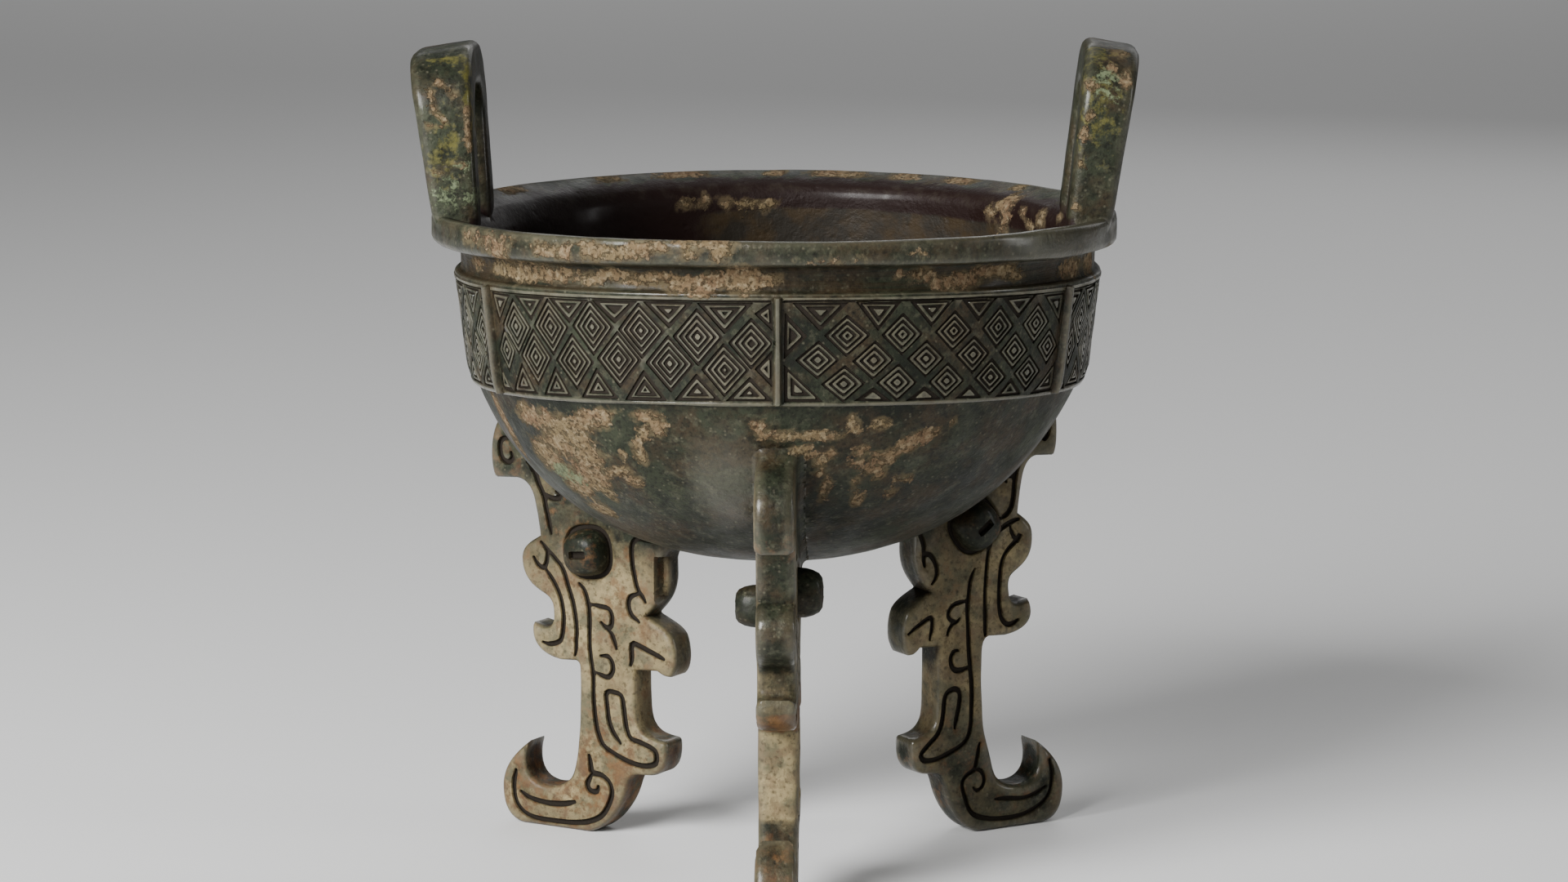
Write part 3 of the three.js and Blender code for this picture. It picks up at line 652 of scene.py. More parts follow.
# The strokes that face the camera on the right leg, in millimetres: across from the axis, and up.
RIGHT_LEG_STROKES = [
    [(72.4, 104.3), (74.0, 103.4), (74.1, 100.9), (73.1, 98.9), (71.9, 99.4), (72.1, 100.4)],
    [(68.3, 99.1), (66.4, 96), (65.1, 93.2), (64.4, 90.6), (64, 87.6), (63.7, 84.5), (62.9, 81.9),
     (61.3, 80.2), (59.8, 79.6)],
    [(64.2, 89.8), (62.5, 90.3), (61.3, 89.9), (61.7, 88.9)],
    [(67.8, 79.4), (65.2, 79), (62.8, 78.4), (60.4, 77.2), (58, 75.3), (56.8, 73), (56.2, 70),
     (55.8, 65.9), (55.5, 61.1), (55.6, 56.9), (55.8, 52.7), (56, 49.6)],
    [(63, 77.5), (63.4, 76.1), (64.3, 74.4), (65.4, 73.6), (66.2, 74.9)],
    [(65.6, 75.2), (64.3, 73.4), (62.1, 71.5), (60.5, 68.9), (59.9, 64.8), (59.7, 60.7), (59.9, 57.2),
     (60.6, 54.3), (62.2, 52.6), (64, 52.6), (65.6, 53.4)],
    [(52.6, 67.6), (51.2, 64.9), (50.7, 61.5), (50.4, 57.4), (50.7, 51.8), (51, 47), (51.6, 42),
     (52, 37.1), (51.9, 32.3), (51.7, 28.1), (50.7, 24.7), (48.7, 22.9), (45.5, 21.5), (41.5, 20.2),
     (38.4, 20.2), (37.1, 21.4), (37.7, 22.6), (39.9, 24.6), (41.9, 26.4), (43.1, 28.7), (43.7, 31.8),
     (44, 35.2), (44.8, 36.9), (46.6, 37.6), (48, 37.2), (48.5, 35.8), (48.1, 32.7), (47.5, 30),
     (47.1, 27.6)],
    [(50.5, 59.6), (48.9, 59.6), (46.5, 59.2), (45.1, 57.9), (44.8, 56.2), (46, 55), (47.4, 54.5),
     (48.2, 55.4)],
    [(46.8, 54.5), (45.3, 53.4), (44.7, 51.6)],
    [(50.8, 42.7), (49, 42.2), (47, 42.4), (45.9, 43.8), (45.7, 45.6), (46.5, 47.1), (47.9, 47.3)],
    [(33.4, 52.9), (35.8, 54.6), (39.7, 56.5), (40.1, 54.3), (39.5, 50.9)],
    [(36.3, 78.7), (36.9, 76.9), (37.6, 74.5), (37.5, 72.4)],
    [(37.9, 69.6), (37.7, 72.3), (39.6, 72.2), (41.2, 69.3), (41.1, 66.4), (39.3, 64.4), (36.7, 63.6),
     (34.3, 63.9)],
    [(54.4, 22.9), (53.6, 19.5), (52.7, 16.5), (50.4, 15.1), (49.2, 13), (50.1, 9.4), (52.1, 5.3),
     (56.2, 3.4), (61.9, 2.7), (67.6, 3.1), (72.5, 5), (75.4, 7.8), (76.1, 12.7), (75.4, 16.3)],
    [(52.7, 16.3), (54.7, 15.9), (55.7, 13.8), (55.1, 11.6), (53.5, 10.8), (52.5, 11.8)],
    [(59, 8), (62.6, 7.8), (67.6, 7.3), (71.6, 8.3), (74.3, 9.5)],
]


def on_leg(leg, drawn):
    """From the drawing to the radius and height of one leg."""
    drawn = np.atleast_2d(np.array(drawn, float))
    above = smooth_step(drawn[:, 1], *DRAWN_DRAW)
    outward = drawn[:, 0] - DRAWN_FACE
    pull = np.where(outward > 0, leg["draw"] * above, leg["slim"])
    low, high = DRAWN_LIFT
    lift = leg["lift"] * np.clip((drawn[:, 1] - low) / (high - low), 0, 1)
    lift -= leg["crest"] * smooth_step(drawn[:, 1], *DRAWN_CREST)
    return np.column_stack([drawn[:, 0] - outward * pull, drawn[:, 1] + lift])


def leg_outline(leg):
    """A leg's closed outline as radius and height, from where it leaves the bowl and back."""
    edge = on_leg(leg, LEG_EDGE_DRAWN)
    if leg["slim"]:
        begin, end = DRAWN_SHANK
        shank = smooth_step(edge[:, 1], *begin) * (1 - smooth_step(edge[:, 1], *end))
        outer, reach, amount = SLIM_EDGE
        edge[:, 0] -= amount * shank * (np.abs(edge[:, 0] - outer) < reach)
    seat = offset_curve(basin_curve(90), -BURIED)
    buried = gap_to_basin(edge[:, 0], edge[:, 1]) < 0.3 - BURIED
    first = 0
    while buried[first + 1]:
        first += 1
    last = len(edge) - 1
    while buried[last - 1]:
        last -= 1
    edge = edge[first:last + 1]
    top = seat[(seat[:, 0] > edge[-1, 0] + 1) & (seat[:, 0] < edge[0, 0] - 1)]
    return np.vstack([edge, top])


def groove_halves(line):
    """Half the groove's width along a stroke, narrower at both ends."""
    run = run_along(line)
    from_end = np.minimum(run, run[-1] - run)
    return GROOVE_WIDTH / 2 * (GROOVE_END + (1 - GROOVE_END) * smooth_step(from_end, 0, GROOVE_TAPER))


def leg_strokes(leg, side, outline):
    """Middle lines of the carved strokes, kept clear of the plate's edge, with their half widths."""
    if leg["name"] == "right_leg" and side < 0:
        drawn = [np.array(knots, float) for knots in RIGHT_LEG_STROKES]
    else:
        drawn = [on_leg(leg, knots) for knots in LEG_STROKES_DRAWN]
    strokes = []
    for knots in drawn:
        line = smooth_line(knots)
        line = line[(outline_gap(line, outline) > GROOVE_WIDTH / 2 + GROOVE_MARGIN) & inside(line, outline)]
        if len(line) > 2:
            strokes.append((line, groove_halves(line)))
    return strokes


def stroke_outline(line, halves):
    """A closed outline at each point's own distance from a line, with round ends."""
    along = unit(np.gradient(line, axis=0))
    side = np.column_stack([-along[:, 1], along[:, 0]])
    caps = []
    for k, way in ((-1, 1), (0, -1)):
        turn = np.radians([60, 20, -20, -60] if halves[k] > 0.3 else [40, -40])[:, None]
        caps.append(line[k] + way * halves[k] * (np.cos(turn) * along[k] + np.sin(turn) * side[k]))
    reach = halves[:, None]
    return np.vstack([line + reach * side, caps[0], (line - reach * side)[::-1], caps[1]])


def eye_height(share, proud):
    """Height of the eye and its socket above the plate, by distance in eye radii."""
    table = [(at, height * proud) for at, height in EYE_PROFILE] + list(SOCKET_PROFILE)
    return np.interp(share, *zip(*table))


class Eye:
    """A round boss with a slot, in its socket, on one side of a leg."""

    def __init__(self, leg, side):
        across, up, size, self.proud, tilt = leg["eyes"][side]
        self.middle = on_leg(leg, EYE_AT)[0] + (across, up)
        self.radius = EYE_RADIUS * size
        self.tilt = math.radians(tilt)

    def along_slot(self, spots):
        """Points of the leg as places along the slot and across it."""
        rel = spots - self.middle
        return np.column_stack([
            rel[:, 0] * math.cos(self.tilt) + rel[:, 1] * math.sin(self.tilt),
            rel[:, 1] * math.cos(self.tilt) - rel[:, 0] * math.sin(self.tilt),
        ])

    def share(self, spots):
        """Distance from the eye's middle, in eye radii."""
        power = (np.abs(self.along_slot(spots))**EYE_SQUARE).sum(1)
        return power**(1 / EYE_SQUARE) / self.radius

    def slot_gap(self, spots):
        """Distance from the slot's edge, negative within it."""
        return (np.abs(self.along_slot(spots)) - SLOT).max(1)

    def placed(self, u, v):
        """Places along the slot and across it as points of the leg."""
        c, s = math.cos(self.tilt), math.sin(self.tilt)
        return np.column_stack([self.middle[0] + u * c - v * s, self.middle[1] + u * s + v * c])

    def rings(self):
        """Outlines of the socket, the eye and its slot."""
        for share in EYE_RINGS:
            count = max(int(share * self.radius * 5), 14)
            spin = np.linspace(0, 2 * math.pi, count, endpoint=False)
            c, s = np.cos(spin), np.sin(spin)
            away = share * self.radius / (np.abs(c)**EYE_SQUARE + np.abs(s)**EYE_SQUARE)**(1 / EYE_SQUARE)
            yield self.placed(away * c, away * s)
        for inset in (0, SLOT_WALL):
            long, high = SLOT[0] - inset, SLOT[1] - inset
            corners = np.array([(-long, -high), (long, -high), (long, high), (-long, high)])
            box = np.vstack([a + (b - a) * t for a, b in zip(corners, np.roll(corners, -1, axis=0))
                             for t in (0.12, 0.5, 0.88)]).reshape(-1, 2)
            yield self.placed(box[:, 0], box[:, 1])


def neck_step(spots):
    """How deep the stepped back part of the neck lies below the face."""
    inward = np.clip((NECK_STEP["radius"] - spots[:, 0]) / NECK_STEP["wall"], 0, 1)
    below = np.clip((NECK_STEP["high"] - spots[:, 1]) / NECK_STEP["wall"], 0, 1)
    low = NECK_STEP["low"]
    return NECK_STEP["depth"] * inward * below * smooth_step(spots[:, 1], low, low + 3)


def loose_points(outline, stepped):
    """Points of a leg's face that no line joins: rows along its edge and the bowl, and a fill."""
    loose = []
    along = unit(np.roll(outline, -1, axis=0) - np.roll(outline, 1, axis=0))
    inward = np.column_stack([-along[:, 1], along[:, 0]])
    if not inside(outline[20:21] + 0.3 * inward[20:21], outline)[0]:
        inward = -inward
    for depth in EDGE_ROWS:
        row = outline + depth * inward
        loose.append(row[(outline_gap(row, outline) > 0.93 * depth) & inside(row, outline)])
    for gap in FILLET_ROWS:
        loose.append(offset_curve(basin_curve(70), gap - 0.1))
    if stepped:
        for near in (0, NECK_STEP["wall"] / 2, NECK_STEP["wall"]):
            up = np.arange(NECK_STEP["low"], NECK_STEP["high"], 0.8)
            loose.append(np.column_stack([np.full(len(up), NECK_STEP["radius"] - near), up]))
            out = np.arange(28, NECK_STEP["radius"], 0.7)
            loose.append(np.column_stack([out, np.full(len(out), NECK_STEP["high"] - near)]))
    low, high = outline.min(0), outline.max(0)
    across, up = FILL_STEP
    grid = np.array([(x + (row % 2) * across / 2, y)
                     for row, y in enumerate(np.arange(low[1], high[1], up))
                     for x in np.arange(low[0], high[0], across)])
    loose.append(grid[outline_gap(grid, outline) > LEG_EDGE + 0.6])
    loose = np.vstack(loose)
    return loose[inside(loose, outline) & (outline_gap(loose, outline) > 0.2)]


def leg_face(leg, side, outline):
    """One carved face of a leg: flat points, triangles, heights, marks, and the outline's points."""
    strokes = leg_strokes(leg, side, outline)
    eye = Eye(leg, side)
    stepped = leg["name"] == "left_leg" and side > 0
    starts = np.vstack([line[:-1] for line, _ in strokes])
    ends = np.vstack([line[1:] for line, _ in strokes])
    widths = np.concatenate([(halves[:-1] + halves[1:]) / 2 for _, halves in strokes])
    turn = math.radians(leg["azimuth"])

    def clearance(spots):
        return (distances(spots, starts, ends) - widths).min(1)

    def basin_gap(spots):
        x = spots[:, 0] * math.cos(turn) + leg["shift"]
        y = spots[:, 0] * math.sin(turn)
        return gap_to_basin(np.sqrt(x**2 + y**2 + (LEG_THICKNESS / 2)**2), spots[:, 1])

    points = [tuple(p) for p in outline]
    edges = loop_edges(0, len(outline))
    for line, halves in strokes:
        for inset in (0, GROOVE_WALL):
            ring = stroke_outline(line, halves - inset)
            keep = clearance(ring) > -inset - 0.09
            for k in range(len(ring)):
                n = (k + 1) % len(ring)
                if keep[k] and keep[n]:
                    edges.append((len(points) + k, len(points) + n))
            points.extend(map(tuple, ring))
    for ring in eye.rings():
        edges += loop_edges(len(points), len(ring))
        points.extend(map(tuple, ring))

    loose = loose_points(outline, stepped)
    points.extend(map(tuple, loose[(clearance(loose) > 0.35) & (eye.share(loose) > EYE_CLEAR)]))
    flat, faces, where = triangulated(points, edges)
    faces = faces[inside(flat[faces].mean(1), outline)]

    gap = outline_gap(flat, outline)
    beside = np.clip(basin_gap(flat), 0, LEG_FILLET)
    flare = LEG_FILLET - np.sqrt(np.maximum(LEG_FILLET**2 - (LEG_FILLET - beside)**2, 0))
    flare *= np.clip(gap / 2.5, 0.25, 1)
    edge = LEG_EDGE - np.minimum(gap, LEG_EDGE)
    drop = LEG_EDGE - np.sqrt(np.maximum(LEG_EDGE**2 - edge**2, 0))
    sunk = np.clip(-clearance(flat) / GROOVE_WALL, 0, 1)
    share = eye.share(flat)
    slot = np.clip(-eye.slot_gap(flat) / SLOT_WALL, 0, 1)
    rise = flare - drop - GROOVE_DEPTH * sunk
    if stepped:
        rise -= neck_step(flat)
    rise = np.where(share < EYE_RINGS[0] + 0.001, eye_height(share, eye.proud) - SLOT_DEPTH * slot, rise)
    socket = (share > 1.0) & (share < 1.22)
    carved = np.maximum(np.maximum(sunk, slot), 0.8 * socket)
    boss = (share < 1.0) * (1 - slot)
    return flat, faces, rise, np.column_stack([carved, boss]), where[:len(outline)]


def leg_skin(leg):
    """Both carved faces of a leg, with rows of points between them around its edge."""
    skin = Skin()
    outline = leg_outline(leg)
    placed, faces, marks, rims, count = [], [], [], [], 0
    for side in (1, -1):
        flat, triangles, rise, face_marks, rim = leg_face(leg, side, outline)
        placed.append(np.column_stack([flat[:, 0], side * (LEG_THICKNESS / 2 + rise), flat[:, 1]]))
        faces += [tuple(v + count for v in f[::side]) for f in triangles]
        marks.append(face_marks)
        rims.append(rim + count)
        count += len(flat)
    near, far = (np.vstack(placed)[rim] for rim in rims)
    ladder = [rims[0]]
    for share in (0.25, 0.5, 0.75):
        placed.append(near + (far - near) * share)
        marks.append(np.zeros((len(outline), 2)))
        ladder.append(count + np.arange(len(outline)))
        count += len(outline)
    ladder.append(rims[1])
    for upper, lower in zip(ladder, ladder[1:]):
        for k in range(len(outline)):
            n = (k + 1) % len(outline)
            faces.append((upper[k], lower[k], lower[n], upper[n]))
    points, marks = np.vstack(placed), np.vstack(marks)
    used = np.zeros(len(points), bool)
    for face in faces:
        used[list(face)] = True
    renumber = np.cumsum(used) - 1
    faces = [tuple(renumber[list(face)]) for face in faces]
    skin.add(turned(points[used], leg["azimuth"], leg["shift"]), faces,
             carved=marks[used, 0], boss=marks[used, 1])
    return skin


# The casting

def fused(body, parts):
    """The body with its parts joined on, as one closed mesh."""
    for part in parts:
        step = body.modifiers.new(part.name, "BOOLEAN")
        step.operation = "UNION"
        step.solver = "MANIFOLD"
        step.object = part
    ready = bpy.data.meshes.new_from_object(body.evaluated_get(bpy.context.evaluated_depsgraph_get()))
    body.modifiers.clear()
    body.data = ready
    for part in parts:
        bpy.data.objects.remove(part)
    return body


def mesh_values(items, name, width):
    """One property of all the points or faces of a mesh, as a table."""
    values = np.empty(len(items) * width)
    items.foreach_get(name, values)
    return values.reshape(-1, width)


def carried_marks(points, skins):
    """The marks of the parts, carried over to the fused mesh point by point."""
    sources = np.vstack([skin.all_points() for skin in skins])
    marks = np.vstack([skin.marks() for skin in skins])
    tree = KDTree(len(sources))
    for k, at in enumerate(sources):
        tree.insert(at, k)
    tree.balance()
    carried = np.zeros((len(points), len(MARKS)))
    for n, point in enumerate(points):
        _, k, gap = tree.find(point)
        if gap < SAME_POINT:
            carried[n] = marks[k]
    return dict(zip(MARKS, carried.T))


def uneven(points, normals):
    """The slight waviness of a hand finished casting. The soles stay flat on the floor."""
    moved = points.copy()
    for n, (point, normal) in enumerate(zip(points, normals)):
        spot = Vector(point)
        wave = sum(height * noise.noise(spot / length) for length, height in (WAVE_LONG, WAVE_SHORT))
        moved[n] += normal * wave * min(max(point[2] / 2, 0), 1)
    return moved


def outer_radius(height):
    """Radius of the outside of the bowl at a height."""
    return np.interp(height, [*BASIN_FINE[:, 1], BAND_TOP], [*BASIN_FINE[:, 0], BAND_TOP_RADIUS])


def sagged(points):
    """The points as the casting has sagged and drifted, sliding along the bowl's own outside."""
    x, y, height = points.T
    radius = np.maximum(np.hypot(x, y), 1)
    on_bowl = np.where(height > BAND_BOTTOM, 1, 1 - smooth_step(radius - outer_radius(height), 2, 6))
    amount, heights, shares = SAG
    drop = amount * (x / SAG_REACH)**2 * np.interp(height, heights, shares) * on_bowl
    share = 1 - (outer_radius(height) - outer_radius(height - drop)) / radius
    amount, heights, shares = DRIFT
    drift = amount * np.interp(height, heights, shares) * on_bowl
    return np.column_stack([x * share + drift, y * share, height - drop])


def bends(mesh):
    """How sharply the surface bends at each point, in 1/mm: edges positive, hollows negative."""
    points = mesh_values(mesh.vertices, "co", 3)
    normals = mesh_values(mesh.vertices, "normal", 3)
    ends = np.empty(len(mesh.edges) * 2, int)
    mesh.edges.foreach_get("vertices", ends)
    a, b = ends.reshape(-1, 2).T
    run = points[b] - points[a]
    length = np.maximum((run**2).sum(1), 1e-4)
    count = np.bincount(a, minlength=len(points)) + np.bincount(b, minlength=len(points))
    bend = (np.bincount(a, -2 * (normals[a] * run).sum(1) / length, len(points))
            + np.bincount(b, 2 * (normals[b] * run).sum(1) / length, len(points))) / count
    bend = np.clip(bend, -SHARPEST_BEND, SHARPEST_BEND)
    for _ in range(4):
        beside = np.bincount(a, bend[b], len(points)) + np.bincount(b, bend[a], len(points))
        bend = (bend + beside / count) / 2
    return bend


def casting():
    """The whole vessel: its parts joined, marked, made uneven, and scaled to metres."""
    skins = [bowl_skin()] + [leg_skin(leg) for leg in LEGS] + [handle_skin(handle) for handle in HANDLES]
    names = ["ding_casting"] + [leg["name"] for leg in LEGS] + ["right_handle", "left_handle"]
    bodies = [skin.mesh_object(name) for skin, name in zip(skins, names)]
    body = fused(bodies[0], bodies[1:])
    mesh = body.data
    points = mesh_values(mesh.vertices, "co", 3)
    normals = mesh_values(mesh.vertices, "normal", 3)
    marks = carried_marks(points, skins)
    bend = bends(mesh)
    # Convex edges, lightened as wear and as painted highlight, and glossier.
    marks["edge_wear_and_painted_highlight"] = np.clip(bend / WORN_BEND, 0, 1) * (1 - BOSS_KEPT * marks["boss"])
    marks["hollow"] = np.clip(-bend / HOLLOW_BEND, 0, 1)
    marks.update(patina(points, sagged(points), normals, marks["boss"]))
    for name, values in marks.items():
        mesh.attributes.new(name, "FLOAT", "POINT").data.foreach_set("value", values.astype(np.float32))
    mesh.vertices.foreach_set("co", (sagged(uneven(points, normals)) * MM).ravel())
    mesh.polygons.foreach_set("use_smooth", [True] * len(mesh.polygons))
    mesh.update()
    mesh.set_sharp_from_angle(angle=math.radians(EDGE_ANGLE))
    return body


# Patina: where each finish lies. A patch on the bowl is its azimuth, height, half width and half
# height, and its strength where that isn't full.

BASIN_CRUST = [
    (-144, 115.9, 5.6, 3.4), (-138, 115.3, 5.4, 3.4), (-133, 114.8, 4.6, 2.7), (-128, 117.1, 3.4, 3),
    (-123, 118.9, 4.5, 1.9), (-122, 117.1, 2.8, 1.9), (-114, 119.8, 2.8, 1.3), (-112, 117.6, 3, 2.9),
    (-116, 115.2, 3, 2.1), (-117, 110.8, 1.8, 3.9), (-121, 111, 1.5, 3.6), (-132, 111.6, 5.7, 3.9),
    (-131, 108.3, 5.7, 4.1), (-138, 110.1, 6, 3.8), (-145, 105.7, 5.7, 5), (-133, 102.8, 6.2, 4.6),
    (-131, 100.5, 2.9, 4.4), (-140, 99.3, 5.5, 4.5), (-124, 104.9, 4, 1.5), (-121, 102.4, 2.4, 1.6),
    (-139, 92.6, 5.3, 2), (-159, 114.9, 1.8, 6), (-158, 111.8, 2.2, 7), (-160, 105.3, 1.4, 3.4),
    (-93, 118.4, 1.9, 1.3), (-92, 116.4, 2.2, 1.3), (-88, 115.8, 3.7, 1.2), (-82, 115.7, 5.7, 0.6),
    (-85, 112.3, 2.2, 1.2), (-83, 111, 1.9, 1.6), (-81, 108.9, 1.5, 2.2), (-81, 106.1, 1.3, 1.5),
    (-79, 101.9, 1.3, 3.2), (-79, 111, 1.7, 0.8), (-75, 117.4, 2.1, 1.9), (-76, 119.3, 1.2, 1.3),
    (-73, 111.8, 2.2, 1.7), (-70, 109.3, 1.2, 2.3), (-74, 108.5, 2.6, 1.5), (-70, 107, 2.4, 1.6),
    (-68, 104.9, 1.1, 1.4), (-71, 99, 1.8, 2.5), (-73, 102.9, 1.2, 2.9, 0.7), (-70, 118.3, 2.9, 1.6),
    (-67, 109.7, 2.3, 2.3), (-64, 112.2, 3, 2.5), (-61, 114.1, 3.4, 2.3), (-59, 115.1, 1.9, 1.4),
    (-55, 116.9, 1.5, 1.4, 0.7), (-62, 103.3, 3.4, 1.2, 0.7), (-64, 100.2, 2.3, 1.9, 0.5),
    (20, 108, 7, 5, 0.8), (34, 101, 5, 4, 0.7), (75, 112, 9, 4), (92, 105, 6, 5, 0.8),
    (118, 116, 8, 3, 0.9), (128, 98, 5, 4, 0.7),
]
RIM_CRUST = [
    (-142, 158, 14, 2.6, 0.62), (-122, 157.6, 10, 2.4, 0.6), (-80, 157.2, 8, 1.6, 0.5),
    (-149, 158.2, 4.1, 1.5, 0.7), (-140, 156.1, 3.9, 3), (-130, 157.7, 4.1, 2), (-125, 157.6, 5.9, 2.1),
    (-120, 158.7, 5.5, 2), (-116, 157.6, 4.1, 1.5), (-112, 158.9, 5, 2), (-109, 159.8, 3.9, 1.5),
    (-104, 160.6, 3.8, 1.3), (-103, 158.4, 3.4, 1.5), (-99, 160.2, 4.1, 3.7), (-100, 161.3, 1.8, 2.5),
    (-66, 158.2, 3.6, 0.7, 0.6), (40, 158, 8, 2, 0.8), (85, 158.5, 12, 2, 0.8), (140, 158, 9, 2),
]
NECK_CRUST = [
    (-138, 151.4, 17, 2.6, 0.8), (-112, 151.6, 12, 1.8, 0.7),
    (-157, 150.5, 5.3, 1.4), (-146, 150.4, 7.1, 1.7), (-140, 150.1, 5.9, 2.1), (-134, 150.7, 5.2, 1.5),
    (-129, 151.3, 5, 1.3), (-123, 150.7, 3.7, 1.5), (-119, 152.2, 5.4, 1.1), (-115, 151.4, 3.9, 1.5),
    (-110, 152.2, 5, 1.5), (-106, 150.7, 3.7, 1.9), (-103, 151.4, 4.8, 1.9), (-99, 152.1, 4.7, 2),
    (-95, 152.8, 4.6, 3.6), (-91, 152.2, 3.3, 1.3), (-102, 149.4, 3.8, 0.6), (-68, 153, 1.5, 1.1),
    (-64, 152.4, 4, 1.5), (-60, 150.4, 4.1, 1.7), (-56, 150.6, 5.2, 2.2), (-51, 151.9, 5, 1.7),
    (-47, 152, 4.3, 1.9), (-44, 150.5, 3.5, 1.5), (-26, 149.8, 7.9, 2.6), (-15, 149.6, 5.3, 3.9),
    (30, 151, 14, 1.8, 0.8), (95, 151.5, 10, 1.8), (150, 151, 12, 2),
]
LIP_CRUST = [                    # on the lip, with the radius in place of the height
    (147, 77.5, 5.7, 7.7, 0.8), (123, 77.5, 5.2, 6.6, 0.7), (108, 77.5, 7.3, 6.6, 0.9),
    (90, 77.5, 2.9, 4.4), (78, 77.5, 7.1, 5.5), (64, 77.5, 4.2, 5.5), (53, 77.5, 4.6, 4.4),
    (38, 77.5, 2.5, 5.5), (16, 77.5, 2, 5.5),
]
INNER_CRUST = [
    (109, 154.3, 1.8, 1.7), (105, 155, 1.9, 1.7), (100, 153.6, 2.3, 1.9), (96, 153.4, 3.2, 1.9),
    (92, 153.5, 3.6, 1.7), (35, 158.3, 2.6, 1.9), (36, 156.4, 3.9, 1.9), (40, 154.3, 2.3, 0.8),
    (35, 153.8, 2.6, 1.6), (36, 151.3, 2.7, 1.2), (26, 152.6, 2.5, 1.2), (21, 155.5, 2.6, 1.6),
    (21, 153.7, 2.6, 1.2), (29, 155.6, 1.6, 1.6), (11, 156.8, 2.6, 1.4),
]
BARE_SPOTS = [
    (-134, 157.2, 3.1, 1.5), (-123, 157.5, 1.4, 0.9), (-101, 158.5, 1.7, 1.7), (-105, 158.7, 1.1, 1.1),
    (-119, 116.1, 3.1, 2.8), (-121, 113.5, 2.8, 2.5), (-151, 96, 2.4, 2.5),
]
PALE_GREEN_SPOTS = [(-143, 102.1, 4.2, 2.5, 0.8), (-139, 101, 3.2, 2.2, 0.7)]
# Painted highlights: spots of the bowl and rim painted lighter, and glossier, where the key light's
# reflection falls
PAINTED_HIGHLIGHT_SPOTS = [
    (-100, 104, 9, 12, 0.8), (-130, 160.3, 8, 1.4, 0.8), (-108, 161, 12, 1, 0.7), (-38, 158, 14, 4),
    (-25, 158, 10, 4), (-15, 160, 8, 3), (-125, 150, 12, 0.9),
]

# A patch on a handle's front is its place across and up, half width and half height, and strength.
HANDLE_CRUST = [
    (-78.2, 191.8, 1.3, 1.3), (-75.3, 189.3, 1.3, 1.4), (-80.7, 189.1, 1.2, 1.9), (-80, 185.7, 1.2, 1.2),
    (-81.2, 181.6, 1.3, 1.0), (-77.9, 183.5, 1.0, 1.3), (-72.5, 184.9, 1.1, 2.3), (-72.3, 181, 1.1, 2.1),
    (-72.2, 177.6, 1.1, 2.1), (-79.7, 171.4, 1.3, 1.0), (-73.6, 172.9, 1.7, 1.3, 0.8),
    (82.6, 199.1, 2.9, 1.2, 0.8), (75, 191.8, 1.9, 1.4), (82.7, 192.8, 1.6, 2.4), (79.4, 195.5, 1.6, 1.2),
    (74.5, 184.5, 1.4, 1.8), (72.8, 180.4, 1.2, 1.8), (72.3, 173.5, 1.0, 1.0), (71, 163.8, 1.0, 1.2),
]
HANDLE_YELLOW_GREEN = [
    (-79.4, 198.5, 5.6, 2.6, 0.6), (-72.9, 197.8, 1.8, 2.6, 0.6), (-72.6, 194.3, 1.4, 2.2, 0.6),
    (-72.2, 188.7, 1.2, 3, 0.55), (-82.1, 199.9, 2.3, 1.5, 0.6), (-71.5, 183, 1.2, 5.8, 0.5),
    (78, 199, 4, 2, 0.42), (76, 186, 6, 12, 0.36), (-78, 176, 5, 9, 0.36),
]
HANDLE_PALE_GREEN = [
    (-71.1, 165.6, 1.5, 2.5, 0.62), (-73.6, 172.9, 2.4, 2.2, 0.5), (78.6, 193.2, 3.6, 2.2, 0.56),
    (78.5, 189.3, 3.2, 1.8, 0.52), (-77, 167, 4.5, 4.5, 0.4),
]

# How pale each leg's skin is, and how rusty, as heights and the share at each
LEG_PALE = {
    "front_leg": ([0, 22, 23.4, 43, 44.2, 51, 52, 59, 61, 75],
                  [0.3, 0.3, 0.9, 0.85, 0.25, 0.25, 0.34, 0.3, 0.06, 0.04]),
    "right_leg": ([0, 20, 30, 50, 66, 78, 100], [0.3, 0.36, 0.62, 0.64, 0.62, 0.52, 0.42]),
    "left_leg": ([0, 20, 30, 50, 66, 76, 100], [0.64, 0.64, 0.86, 0.9, 0.8, 0.34, 0.26]),
}
FRONT_FACE_PALE = 0.42           # the front leg's carved faces are at least this pale
LEG_RUST = {
    "front_leg": ([0, 20, 24, 42.6, 44.2, 50.4, 51.6, 84, 88, 96, 100],
                  [0.35, 0.35, 0, 0, 0.7, 0.7, 0.1, 0.1, 0.35, 0.35, 0]),
    "right_leg": ([0, 8, 25, 40, 60], [0.2, 0.3, 0.3, 0.15, 0.2]),
    "left_leg": ([0, 12, 24, 40, 60, 80], [0.45, 0.5, 0.4, 0.25, 0.3, 0.3]),
}

# Where a leg's plate is: within this of its middle plane, outside this radius, below this height
PLATE = (12, 22, 122)
NEAR_BOWL = (1, 12)              # the earth on a leg grows from the bowl over these distances
NEAR_SHARE = 0.3                 # from this share of it
SIDE_FACE = (0.35, 0.75)         # how far a face turns to the side, from edge to carved face
SIDE_SHARE = 0.36                # how much of the earth the plate's edge has
SHANK = ((24, 30), (41, 46))     # the shank begins and ends between these heights
SHANK_INSIDE = (45, 0.4)         # its edge within this radius has this much more

# Where the inside of the bowl begins, and where its walls are darkest: a dark red-brown band below the lip,
# and painted shade on the left inner wall
MOUTH_RADIUS = 75
DEEP_FROM = 151.5                # heights above this
PAINTED_SHADE_TURN = (88, 120)            # and painted shade from these azimuths on, round the left side
